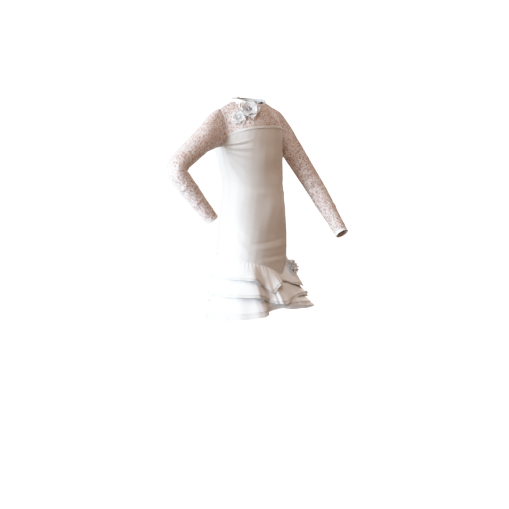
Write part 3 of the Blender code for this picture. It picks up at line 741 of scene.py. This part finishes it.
# An arm's centre line bends at the elbow and carries the sleeve's rings. The cap joins them to the armhole.
class ArmForm:
    def __init__(self, arm):
        self.side = arm["side"]
        shoulder = np.array(sleeveShape["shoulder"]) * (self.side, 1, 1)
        elbow, wrist = np.array(arm["elbow"]), np.array(arm["wrist"])
        upper, lower = unitVector(elbow - shoulder), unitVector(wrist - elbow)
        before = elbow - upper * sleeveShape["elbowBend"]
        after = elbow + lower * sleeveShape["elbowBend"]
        t = np.linspace(0, 1, sleeveShape["runSteps"])[:, None]
        bend = before * (1 - t) ** 2 + 2 * elbow * t * (1 - t) + after * t**2
        straight = shoulder + (before - shoulder) * t
        path = np.vstack([straight, bend[1:], after + (wrist - after) * t[1:]])
        run = runLength(path)
        self.length = run[-1]
        self.shares = np.linspace(0, 1, sleeveShape["formSteps"])
        self.centres = readAlong(self.shares * self.length, run, path)
        self.ways = unitRows(np.gradient(self.centres, axis=0))
        start = turnBetween(np.array([self.side, 0.0, 0.0]), self.ways[0])
        ups, fronts = [start @ (0.0, 0.0, 1.0)], [start @ (0.0, -1.0, 0.0)]
        for before, after in zip(self.ways[:-1], self.ways[1:]):
            step = turnBetween(before, after)
            ups.append(step @ ups[-1])
            fronts.append(step @ fronts[-1])
        self.ups, self.fronts = np.array(ups), np.array(fronts)
        edge = armholeEdge(self.side)
        self.edge = np.vstack([edge, edge[:1]])
        self.capShare = sleeveShape["capReach"] / self.length
        self.cuffStart = 1 - sleeveShape["cuff"] / self.length
        self.around = self.side * 2 * math.pi

    def ring(self, angle, share):
        radius = np.interp(share, sleeveShape["shares"], sleeveShape["radii"])
        up = -np.cos(angle)[..., None] * readAlong(share, self.shares, self.ups)
        front = np.sin(angle)[..., None] * readAlong(share, self.shares, self.fronts)
        return readAlong(share, self.shares, self.centres) + (up + front) * radius[..., None]

    def armhole(self, angle):
        run = runLength(self.edge)
        return readAlong(np.mod(angle / (2 * math.pi), 1) * run[-1], run, self.edge)

    def point(self, angle, share):
        start = self.armhole(angle) + np.array([self.side * 3 * seamGap, 0, 0])
        topness = (1 - np.cos(angle))[..., None] / 2
        out = np.array([self.side * 1.0, 0, 0])
        capEnd = self.ring(angle, 0 * share + self.capShare)
        way = readAlong(0 * share + self.capShare, self.shares, self.ways)
        t = np.clip(share / self.capShare, 0, 1)[..., None]
        first = start + out * (0.010 + 0.020 * topness) + way * 0.010 * (1 - topness)
        second = capEnd - way * (0.016 + 0.022 * topness)
        cap = bezier(start, first, second, capEnd, t)
        return np.where(share[..., None] < self.capShare, cap, self.ring(angle, share))


def sleeveRelief(form, folds, angle, share):
    mean = sleeveShape["meanRadius"]
    rows = [(math.radians(first) * mean, low * form.length, math.radians(last) * mean, high * form.length,
             width, depth) for first, low, last, high, width, depth in folds]
    relief = 0 * angle
    for turnBack in (-4 * math.pi, -2 * math.pi, 0, 2 * math.pi):
        away = np.mod(angle, 2 * math.pi) + turnBack
        relief = relief + foldRelief(away * mean, share * form.length, rows)
    slack = np.sin(3 * angle + 40 * share) * np.sin(31 * share + 2 * angle)
    slack = slack + 0.6 * np.sin(5 * angle - 57 * share)
    radius = np.interp(share, sleeveShape["shares"], sleeveShape["radii"])
    ends = np.clip(share * 22, 0, 1) * np.clip((form.cuffStart - share) * 40, 0, 1)
    return (relief + sleeveShape["slack"] * slack * radius / mean) * ends


def makeSleeve(name, form, folds):
    columns = sleeveShape["around"] + 1
    angle, share = meshFrom(sleeveShape["along"], columns, 0, form.around, 0,
                            form.cuffStart - seamGap / form.length)
    points = raised(form.point(angle, share), sleeveRelief(form, folds, angle, share), closed=True)
    piece, size, area = sewSheet("sleeve_lace_" + name, points, lace, sleeveShape["thick"], closed=True)
    dressPiece(piece, "sleeve_" + name, "lace", size, area, "stretched")
    angle, share = meshFrom(sleeveShape["cuffRows"], columns, 0, form.around, form.cuffStart, 1)
    rise = (share - form.cuffStart) / (1 - form.cuffStart)
    puff = sleeveShape["cuffPuff"] * (1 - (2 * rise - 1) ** 4)
    points = raised(form.point(angle, share), puff, closed=True)
    sewTrim("cuff_satin_" + name, points, whiteAndLitSatin, sleeveShape["cuffThick"], "satin", "cuff_" + name,
            "sleeve_lace_" + name, closed=True)


armForms = {name: ArmForm(arm) for name, arm in arms.items()}
for name, form in armForms.items():
    makeSleeve(name, form, arms[name]["folds"])

# Piping: a thin satin cord in each armhole seam.
piping = {"radius": 0.0014, "along": 420, "pitch": 0.0034, "swell": 0.10, "lift": 0.0014, "sideways": 0.6}


def makePiping():
    for name, form in armForms.items():
        angle = np.linspace(0, 2 * math.pi, piping["along"], endpoint=False)
        path = form.armhole(angle) + (form.side * 1.5 * seamGap, 0, 0)
        outward = unitRows((path - path.mean(axis=0)) * (0, 1, 1))
        outward = unitRows(outward + (form.side * piping["sideways"], 0, 0))
        points = cordAlong(path + outward * piping["lift"], outward, piping["radius"], piping["pitch"],
                           piping["swell"])
        sewCord("armhole_piping_" + name, points, whiteAndLitSatin, "satin", "sleeve_lace_" + name)


makePiping()

# Stitching: rows of thread on the bands, the binding and the cuffs, and a cord down each side seam.
stitching = {"radius": 0.00026, "pitch": 0.0026, "swell": 0.42, "around": 6}
sideSeam = {"radius": 0.0006, "pitch": 0.004, "swell": 0.10, "around": 8, "rows": 260, "fromEnd": 0.002,
            "fromChest": 0.020}


def rowOn(surface, columns, level, lowU, highU, lift, near=0.01):
    u, v = np.meshgrid(np.linspace(lowU, highU, columns), level + np.array((-near, 0.0, near)))
    points = surface(u, v)
    outward = outwardOf(points, False)[1]
    return points[1] + outward * lift, outward


# Stitches keep their own thread finish and take no slot.
def sewRow(name, path, outward, sheetName, closed):
    points = cordAlong(path, outward, stitching["radius"], stitching["pitch"], stitching["swell"],
                       stitching["around"], closed)
    sewCord(name, points, thread, None, sheetName)


def makeSideSeams():
    heights = np.linspace(sheathSizes["end"] + sideSeam["fromEnd"],
                          sheathSizes["chestSeam"] - sideSeam["fromChest"], sideSeam["rows"])
    for name, side in (("right", -1), ("left", 1)):
        front, back = [sheathPoint(facing, side + 0 * heights, heights) for facing in (1, -1)]
        outward = np.tile((side * 1.0, 0.0, 0.0), (len(heights), 1))
        points = cordAlong((front + back) / 2, outward, sideSeam["radius"], sideSeam["pitch"],
                           sideSeam["swell"], sideSeam["around"], False)
        sewCord("side_seam_" + name, points, satin, "satin", "sheath_front")


def makeStitching():
    top = chestBand["lift"] + chestBand["puff"] * 0.8
    for name, facing in (("front", 1), ("back", -1)):
        end = facing * chestBand["stitchEnd"]
        for row, level in (("low", -chestBand["stitches"]), ("high", chestBand["stitches"])):
            path, outward = rowOn(lambda u, v: chestPoint(facing, u, v), chestBand["stitchColumns"], level,
                                  -end, end, top, near=0.0004)
            sewRow(f"chest_stitches_{name}_{row}", path, outward, "sheath_" + name, False)
    end = math.pi - neckBinding["parting"] - neckBinding["stitchEnd"]
    path, outward = rowOn(bindingPoint, neckBinding["stitchColumns"], neckBinding["stitchRise"], -end, end,
                          neckBinding["puff"] * 0.9)
    sewRow("binding_stitches", path, outward, "yoke_lace_front", False)
    for name, form in armForms.items():
        level = 1 - sleeveShape["cuffStitches"] * sleeveShape["cuff"] / form.length
        path, outward = rowOn(form.point, sleeveShape["stitchColumns"], level, 0, form.around,
                              sleeveShape["cuffPuff"])
        sewRow("cuff_stitches_" + name, path[:-1], outward[:-1], "sleeve_lace_" + name, True)


makeSideSeams()
makeStitching()
print("sleeves sewn")

# Flounces: three tiers set on the sheath, each with its own folds round the hips.
# A fold is its angle from the front towards the left, its seam and hem heights and its flare.
flounceShape = {"thick": 0.0009, "columns": 440, "rows": 34, "ripples": 9, "rippleDepth": 0.0022,
                "seat": 0.0016, "braidTuck": 0.035, "braidThick": 0.0008, "braidRows": 7,
                "braidGap": 0.0002, "deepFold": math.radians(-34), "slant": 2.15, "slantTop": -0.440,
                "slantWidth": math.radians(30), "closer": 0.42, "gather": 0.0006, "soft": 0.0011,
                "flute": 0.0017, "roll": 0.0005, "rollShare": 0.03, "stitchShare": 0.04,
                "stitchColumns": 1500}
flounces = {
    "upper": {"braid": 0.007, "belly": 0.0, "folds": (
        (-168, -0.425, -0.494, 0.028), (-135, -0.420, -0.488, 0.017), (-104, -0.426, -0.483, 0.020),
        (-74, -0.434, -0.481, 0.030), (-46, -0.441, -0.484, 0.036), (-34, -0.445, -0.508, 0.016),
        (-23, -0.450, -0.524, 0.034), (-5, -0.460, -0.502, 0.035), (14, -0.474, -0.495, 0.016),
        (27, -0.480, -0.500, 0.019), (45, -0.448, -0.516, 0.048), (66, -0.436, -0.522, 0.052),
        (104, -0.430, -0.512, 0.036), (148, -0.428, -0.502, 0.036))},
    "middle": {"braid": 0.008, "belly": 0.3, "folds": (
        (-168, -0.462, -0.546, 0.042), (-135, -0.458, -0.537, 0.026), (-104, -0.458, -0.530, 0.030),
        (-74, -0.460, -0.528, 0.040), (-46, -0.464, -0.529, 0.047), (-34, -0.472, -0.545, 0.021),
        (-22, -0.480, -0.551, 0.042), (-6, -0.486, -0.552, 0.053), (14, -0.490, -0.545, 0.047),
        (38, -0.492, -0.537, 0.054), (62, -0.484, -0.553, 0.066), (100, -0.474, -0.560, 0.056),
        (148, -0.466, -0.552, 0.053))},
    "lower": {"braid": 0.014, "belly": 0.2, "folds": (
        (-168, -0.500, -0.602, 0.052), (-135, -0.500, -0.603, 0.033), (-104, -0.498, -0.599, 0.039),
        (-74, -0.498, -0.592, 0.048), (-46, -0.500, -0.582, 0.055), (-34, -0.503, -0.574, 0.023),
        (-22, -0.505, -0.568, 0.036), (-6, -0.507, -0.564, 0.048), (18, -0.508, -0.562, 0.062),
        (44, -0.508, -0.570, 0.082), (66, -0.506, -0.588, 0.076), (95, -0.502, -0.603, 0.066),
        (140, -0.500, -0.603, 0.068))},
}


def foldAt(folds, column, turn):
    rows = np.array(folds, float)
    angles, values = np.radians(rows[:, 0]), rows[:, column]
    knots = np.concatenate([angles[-3:] - 2 * math.pi, angles, angles[:3] + 2 * math.pi])
    values = np.concatenate([values[-3:], values, values[:3]])
    return smoothBetween(np.mod(turn + math.pi, 2 * math.pi) - math.pi, knots, values)


def sectionRadius(turn, height):
    depth = np.where(np.cos(turn) > 0, figureAt("front", height), figureAt("back", height))
    power = sheathSizes["squareness"]
    wide = (np.abs(np.sin(turn)) / figureAt("halfWidth", height)) ** power
    deep = (np.abs(np.cos(turn)) / depth) ** power
    return (wide + deep) ** (-1 / power)


def flouncePoint(tier, turn, rise):
    turn = np.mod(turn + math.pi, 2 * math.pi) - math.pi
    drop, folds = 1 - rise, tier["folds"]
    seam, hem = foldAt(folds, 1, turn), foldAt(folds, 2, turn)
    height = seam + (hem - seam) * drop
    ripple = flounceShape["rippleDepth"] * np.cos(flounceShape["ripples"] * turn) * drop**2
    flare = foldAt(folds, 3, turn) * drop * (1 + tier["belly"] * (1 - drop))
    away = (turn - flounceShape["deepFold"]) / flounceShape["slantWidth"]
    turned = turn + flounceShape["slant"] * (flounceShape["slantTop"] - height) * np.exp(-(away**2))
    reach = sectionRadius(turned, height) + flare + ripple
    x = reach * np.sin(turned) + figureAt("shiftX", height)
    y = -reach * np.cos(turned) + figureAt("shiftY", height)
    return np.stack([x, y, height], axis=-1)


def flounceRelief(name, turn, rise):
    seed = {"upper": 0.0, "middle": 1.7, "lower": 3.9}[name]
    drop = 1 - rise
    uneven = np.sin(3 * turn + seed) + 0.5 * np.sin(7 * turn - 2 * seed)
    gathers = np.sin(64 * turn + 5 * uneven) * np.clip(rise, 0, 1) ** 4 * np.clip(drop * 14, 0, 1)
    soft = np.sin(17 * turn + 3 * uneven + 2 * rise) * np.sin(math.pi * np.clip(rise, 0, 1)) ** 1.2
    flutes = np.sin(26 * turn + 4 * uneven + seed) * np.clip(drop, 0, 1) ** 1.3 * (0.55 + 0.3 * uneven)
    return (flounceShape["gather"] * gathers + flounceShape["soft"] * soft * (0.6 + 0.4 * uneven)
            + flounceShape["flute"] * flutes)


# Columns go once round the hips and stand closer at the deep fold.
def turnsRound(count):
    even = np.linspace(0, 2 * math.pi, count)
    return even - flounceShape["closer"] * np.sin(even - flounceShape["deepFold"])


def sewHemRow(name, tier, share, sheetName):
    rises = share + flounceShape["stitchShare"] + np.array((-0.01, 0.0, 0.01))
    turn, rise = np.meshgrid(turnsRound(flounceShape["stitchColumns"]), rises)
    path = flouncePoint(tier, turn, rise)
    outward = outwardOf(path, True)[1]
    path = path[1] + outward * (flounceShape["seat"] + flounceRelief(name, turn, rise)[1, :, None])
    sewRow("hem_stitches_" + name, path[:-1], outward[:-1], sheetName, True)


def makeFlounce(name, tier):
    depth = np.mean([seam - hem for _, seam, hem, _ in tier["folds"]])
    share = tier["braid"] / depth
    turns = turnsRound(flounceShape["columns"] + 1)
    rises = share + (0.5 - 0.5 * np.cos(np.linspace(0, math.pi, flounceShape["rows"]))) * (1 - share)
    turn, rise = np.meshgrid(turns, rises)
    hem = np.clip((share + flounceShape["rollShare"] - rise) / flounceShape["rollShare"], 0, 1)
    lift = flounceShape["seat"] + flounceRelief(name, turn, rise) + flounceShape["roll"] * hem
    points = raised(flouncePoint(tier, turn, rise), lift, closed=True)
    cloth, size, area = sewSheet("flounce_satin_" + name, points, whiteAndLitSatin, flounceShape["thick"],
                                 closed=True)
    dressPiece(cloth, "flounce_" + name, "satin", size, area, "gathered", ["sheath_front"])
    rises = np.linspace(0, share + flounceShape["braidTuck"], flounceShape["braidRows"])
    turn, rise = np.meshgrid(turns, rises)
    behind = flounceShape["seat"] - flounceShape["thick"] - flounceShape["braidGap"]
    lift = behind + flounceRelief(name, turn, rise)
    points = raised(flouncePoint(tier, turn, rise), lift, closed=True)
    sewTrim("hem_net_" + name, points, hemBraid, flounceShape["braidThick"], "hem_braid",
            "hem_braid_" + name, cloth.name, closed=True)
    sewHemRow(name, tier, share, cloth.name)


for name, tier in flounces.items():
    makeFlounce(name, tier)
print("flounces set")

# Flowers: single petals of organza, set round in uneven layers, with a stone and beads in the middle.
# A layer is its number of petals, its share of the radius, its lift and its first petal's turn.
neckFlowers = {
    "neck_flower_large": {"across": -0.32, "rise": 0.60, "radius": 0.0325, "stone": 0.0052,
                          "layers": ((5, 1.00, 0.0110, 0.0), (5, 0.76, 0.0140, 0.6))},
    "neck_flower_small": {"across": -0.66, "rise": 0.40, "radius": 0.0245, "stone": 0.0046,
                          "layers": ((5, 1.00, 0.0030, 0.3), (5, 0.76, 0.0055, 0.9))},
}
hipFlower = {"turn": math.radians(46), "rise": 0.74, "radius": 0.0265, "stone": 0.0042,
             "layers": ((13, 1.00, 0.0060, 0.0), (12, 0.90, 0.0125, 0.3), (10, 0.74, 0.0180, 0.1))}
rosettes = {"places": (("middle", 50, 0.12), ("lower", -128, 0.45), ("lower", 118, 0.06)),
            "radius": 0.0068, "stone": 0.0015, "stoneLift": 0.0034,
            "layers": ((7, 1.00, 0.0020, 0.0), (6, 0.70, 0.0038, 0.4))}
petalShape = {"columns": 13, "rows": 15, "thick": 0.0005, "hole": 0.0018}


def surfaceAt(surface, u, v):
    u, v, near = np.array([[u]]), np.array([[v]]), 0.01
    alongU = surface(u + near, v) - surface(u - near, v)
    alongV = surface(u, v + near) - surface(u, v - near)
    return surface(u, v)[0, 0], unitVector(np.cross(alongU, alongV)[0, 0])


def petalPoints(seat, facing, turn, reach, lift, width, pointed, seed):
    side, up = acrossAndUp(facing)
    across, out = meshFrom(petalShape["rows"], petalShape["columns"], -1, 1, 0, 1)
    outline = np.sin(math.pi * np.clip(out, 0, 1) ** (0.62 + 0.6 * pointed)) ** (0.55 + 0.5 * pointed)
    half = width * (0.10 + 0.90 * outline) * (1 - 0.55 * pointed * out)
    half = half * np.clip((1.02 - out) * 12, 0.05, 1) ** 0.6
    far = petalShape["hole"] + (reach - petalShape["hole"]) * out
    far = far - 0.10 * reach * across**2 * out**2
    cup = lift * out**0.6 + 0.0016 * across**2 * (0.4 + out) - 0.0035 * out**3
    frill = 0.0007 * np.sin(5 * across + seed) * out**2 + 0.0006 * np.sin(9 * out + 2 * seed) * across
    swing = turn + 0.12 * math.sin(3.1 * seed) * out
    forward = side * np.cos(swing)[..., None] + up * np.sin(swing)[..., None]
    sideways = -side * np.sin(swing)[..., None] + up * np.cos(swing)[..., None]
    height = 0.0008 + cup + frill
    rim = np.maximum(np.abs(across) ** 3, np.clip(6 * out - 5, 0, 1))
    points = seat + forward * far[..., None] + sideways * (across * half)[..., None]
    return points + facing * height[..., None], rim


def makeStone(name, seat, facing, radius, lift):
    deselect()
    bpy.ops.mesh.primitive_cylinder_add(vertices=14, radius=radius, depth=radius * 0.8)
    gem = bpy.context.object
    gem.name = gem.data.name = name
    bpy.ops.object.mode_set(mode="EDIT")
    bpy.ops.mesh.select_all(action="SELECT")
    bpy.ops.mesh.bevel(offset=radius * 0.30, segments=1)
    bpy.ops.object.mode_set(mode="OBJECT")
    gem.rotation_euler = Vector(facing).to_track_quat("Z", "Y").to_euler()
    gem.location = seat + facing * (lift + radius * 0.4)
    bpy.ops.object.transform_apply(location=True, rotation=True, scale=True)
    gem.data.materials.append(greyStone)
    return gem


def ringOfStones(name, seat, facing, ringRadius, count, radius, lift):
    side, up = acrossAndUp(facing)
    made = []
    for k in range(count):
        angle = 2 * math.pi * k / count
        place = seat + (side * math.cos(angle) + up * math.sin(angle)) * ringRadius
        made.append(makeStone(f"{name}_{k}", place, facing, radius, lift))
    return made


def joined(name, pieces):
    deselect()
    for piece in pieces:
        piece.select_set(True)
    bpy.context.view_layer.objects.active = pieces[0]
    if len(pieces) > 1:
        bpy.ops.object.join()
    whole = bpy.context.object
    whole.name = whole.data.name = name
    return whole


def makePetals(name, seat, facing, sizes, pointed):
    petals, area, turnSeed = [], 0.0, 0
    for count, share, lift, start in sizes["layers"]:
        reach = sizes["radius"] * share
        width = reach * (0.24 if pointed else 0.58)
        for k in range(count):
            turnSeed += 1
            wobble = 0.10 * math.sin(7.3 * turnSeed)
            size = reach * (1 - 0.08 * (0.5 + 0.5 * math.sin(3.7 * turnSeed)))
            turn = start + 2 * math.pi * k / count + wobble
            points, rim = petalPoints(seat, facing, turn, size, lift, width, pointed, turnSeed)
            petal, _, flatArea = sewSheet(f"{name}_petal_{turnSeed}", points, organza, petalShape["thick"],
                                          rim=rim)
            petals.append(petal)
            area += flatArea
    return joined(name + "_petals", petals), area


def makeFlower(name, seat, facing, sizes, pointed):
    whole, area = makePetals(name, seat, facing, sizes, pointed)
    side = math.sqrt(area)
    dressPiece(whole, name, "organza", (side, side), area, "gathered")
    lift = sizes["layers"][-1][2] * 0.45 + 0.0016
    stone = sizes["stone"]
    middle = makeStone(name + "_gem", seat, facing, stone * 0.72, lift)
    ring = ringOfStones(name + "_bead", seat, facing, stone * 0.98, 11, stone * 0.22, lift)
    gems = joined(name + "_stones", [middle, *ring])
    fastened(gems, "grey_stone", name + "_stone")
    sewnOn(gems, whole.name)


def makeRosettes():
    for k, (tierName, turn, rise) in enumerate(rosettes["places"]):
        tier = flounces[tierName]
        seat, facing = surfaceAt(lambda u, v: flouncePoint(tier, u, v), math.radians(turn), rise)
        seat = seat + facing * flounceShape["seat"]
        whole, _ = makePetals(f"rosette_{k}", seat, facing, rosettes, 0.1)
        fastened(whole, "organza")
        sewnOn(whole, "flounce_satin_" + tierName)
        bead = makeStone(f"rosette_bead_{k}", seat, facing, rosettes["stone"], rosettes["stoneLift"])
        fastened(bead, "grey_stone")
        sewnOn(bead, "flounce_satin_" + tierName)


def makeFlowers():
    for name, sizes in neckFlowers.items():
        seat, facing = surfaceAt(frontYoke, sizes["across"], sizes["rise"])
        makeFlower(name, seat, facing, sizes, 0.0)
    tier = flounces["upper"]
    seat, facing = surfaceAt(lambda u, v: flouncePoint(tier, u, v), hipFlower["turn"], hipFlower["rise"])
    makeFlower("hip_flower", seat + facing * flounceShape["seat"], facing, hipFlower, 0.8)


makeFlowers()
makeRosettes()

# Neck button: a covered button on the back of the binding, in a loop of fine cord.
neckButton = {"radius": 0.0042, "flatness": 0.50, "rise": 0.6, "x": 0.003, "facing": (0.0, 1.0, 0.3),
              "loop": 0.0005, "tail": 0.0105, "opening": 25, "pitch": 0.0016, "swell": 0.08}


def makeButton(seat, facing):
    deselect()
    bpy.ops.mesh.primitive_uv_sphere_add(segments=32, ring_count=16, radius=neckButton["radius"])
    button = bpy.context.object
    button.name = button.data.name = "covered_button"
    button.scale = (0.92, 0.92, neckButton["flatness"])
    button.rotation_euler = Vector(facing).to_track_quat("Z", "Y").to_euler()
    button.location = seat + facing * (seamGap + neckButton["radius"] * 0.46)
    bpy.ops.object.transform_apply(location=True, rotation=True, scale=True)
    bpy.ops.object.shade_smooth()
    button.data.materials.append(buttonSatin)
    fastened(button, "button", "neck_button")


def makeLoop(seat, facing):
    side, up = acrossAndUp(facing)
    turn = np.linspace(math.radians(neckButton["opening"]), math.radians(360 - neckButton["opening"]), 60)
    ring, tail = neckButton["radius"] + neckButton["loop"], neckButton["tail"]
    across = np.concatenate([[tail, 0.75 * tail], ring * np.cos(turn), [0.75 * tail, tail]])
    rise = np.concatenate([[0.0007, 0.0012], ring * np.sin(turn), [-0.0012, -0.0007]])
    middle = seat + facing * (seamGap + 2.4 * neckButton["loop"])
    path = middle + across[:, None] * side + rise[:, None] * up
    points = cordAlong(path, np.tile(facing, (len(path), 1)), neckButton["loop"], neckButton["pitch"],
                       neckButton["swell"], 8, False)
    sewCord("button_loop", points, whiteAndLitSatin, "satin", "yoke_lace_front")


def fastenNeck():
    rise, facing = neckButton["rise"], unitVector(np.array(neckButton["facing"]))
    height = neckSizes["backHeight"] + 3 * seamGap + rise * neckSizes["bindingHeight"]
    seat = np.array((neckButton["x"], neckSizes["back"] * (1 - rise * neckSizes["bindingLean"]), height))
    makeButton(seat, facing)
    makeLoop(seat, facing)


fastenNeck()
print("flowers and button made")

# Floor, backdrop, studio light and camera.
studio = {
    "floor": -0.985, "target": (0.0127, -0.0127, -0.427), "distance": 3.4, "azimuth": math.radians(-45),
    "elevation": math.radians(7), "lens": 85.9, "backdrop": 9.0, "backdropHeight": 12, "backdropGlow": 1.7,
    "floorGlow": 1.5, "lightTarget": (0, 0, -0.35), "ambient": 0.27, "ambientTint": (1.0, 0.62, 0.42, 1),
    "key": {"place": (-2.79, 0.62, 0.05), "size": 2.8, "power": 220, "tint": (0.74, 0.88, 1.0)},
    "fill": {"place": (2.2, -2.0, 0.5), "size": 1.6, "power": 5, "tint": (1.0, 0.80, 0.62)},
    "top": {"place": (-1.5, -1.2, 3.0), "size": 2.2, "power": 48, "tint": (1.0, 0.95, 0.89)},
    "rim": {"place": (2.8, 0.9, 0.6), "size": 1.2, "power": 16, "tint": (1.0, 0.93, 0.86)},
    "brightest": 1.6, "shoulder": ((0.30, 0.48), (0.50, 0.74), (0.70, 0.90)),
}


def glowingWhite(name, glow):
    paint = Paint(name)
    grain = paint.noise(paint.objectCoords(), 5.0, 2.0)
    tone = paint.mixed(grain, (0.93, 0.93, 0.93, 1), (0.96, 0.96, 0.96, 1))
    return paint.finish(Base_Color=tone, Roughness=0.9, Specular_IOR_Level=0.1, Emission_Strength=glow,
                        Emission_Color=(1.0, 1.0, 1.0, 1))


def makeBackdrop():
    deselect()
    bpy.ops.mesh.primitive_plane_add(size=1)
    floor = bpy.context.object
    floor.name = floor.data.name = "studio_floor"
    floor.scale = (2 * studio["backdrop"], 2 * studio["backdrop"], 1)
    floor.location = (0, 0, studio["floor"])
    bpy.ops.object.transform_apply(location=True, rotation=True, scale=True)
    floor.data.materials.append(glowingWhite("pale floor", studio["floorGlow"]))
    deselect()
    bpy.ops.mesh.primitive_cylinder_add(vertices=96, radius=studio["backdrop"],
                                        depth=studio["backdropHeight"], end_fill_type="NOTHING")
    wall = bpy.context.object
    wall.name = wall.data.name = "studio_backdrop"
    wall.data.materials.append(glowingWhite("white backdrop", studio["backdropGlow"]))
    for thing in (floor, wall):
        thing.visible_diffuse = thing.visible_glossy = thing.visible_shadow = False


def aimed(thing, place, target):
    thing.location = place
    thing.rotation_euler = (Vector(target) - Vector(place)).to_track_quat("-Z", "Y").to_euler()


def makeLight(name, sizes):
    deselect()
    bpy.ops.object.light_add(type="AREA")
    lamp = bpy.context.object
    lamp.name = name
    lamp.data.shape, lamp.data.size = "DISK", sizes["size"]
    lamp.data.energy, lamp.data.color = sizes["power"], sizes["tint"]
    aimed(lamp, sizes["place"], studio["lightTarget"])


def makeCamera():
    a, e, d = studio["azimuth"], studio["elevation"], studio["distance"]
    back = np.array((math.sin(a) * math.cos(e), -math.cos(a) * math.cos(e), math.sin(e)))
    deselect()
    bpy.ops.object.camera_add()
    camera = bpy.context.object
    camera.data.lens, camera.data.sensor_width = studio["lens"], 36
    aimed(camera, Vector(np.array(studio["target"]) + back * d), studio["target"])
    bpy.context.scene.camera = camera


def softenHighlights(view):
    view.view_transform = "Standard"
    view.use_curve_mapping = True
    view.curve_mapping.white_level = [studio["brightest"]] * 3
    tones = view.curve_mapping.curves[3]
    for dark, light in studio["shoulder"]:
        tones.points.new(dark, light)
    view.curve_mapping.update()


def lightRoom(scene):
    scene.world = scene.world or bpy.data.worlds.new("studio")
    scene.world.use_nodes = True
    sky = scene.world.node_tree.nodes["Background"]
    sky.inputs["Color"].default_value = studio["ambientTint"]
    sky.inputs["Strength"].default_value = studio["ambient"]


makeBackdrop()
for name in ("key", "fill", "top", "rim"):
    makeLight(name + "_light", studio[name])
makeCamera()
lightRoom(bpy.context.scene)
softenHighlights(bpy.context.scene.view_settings)
print("studio lit")
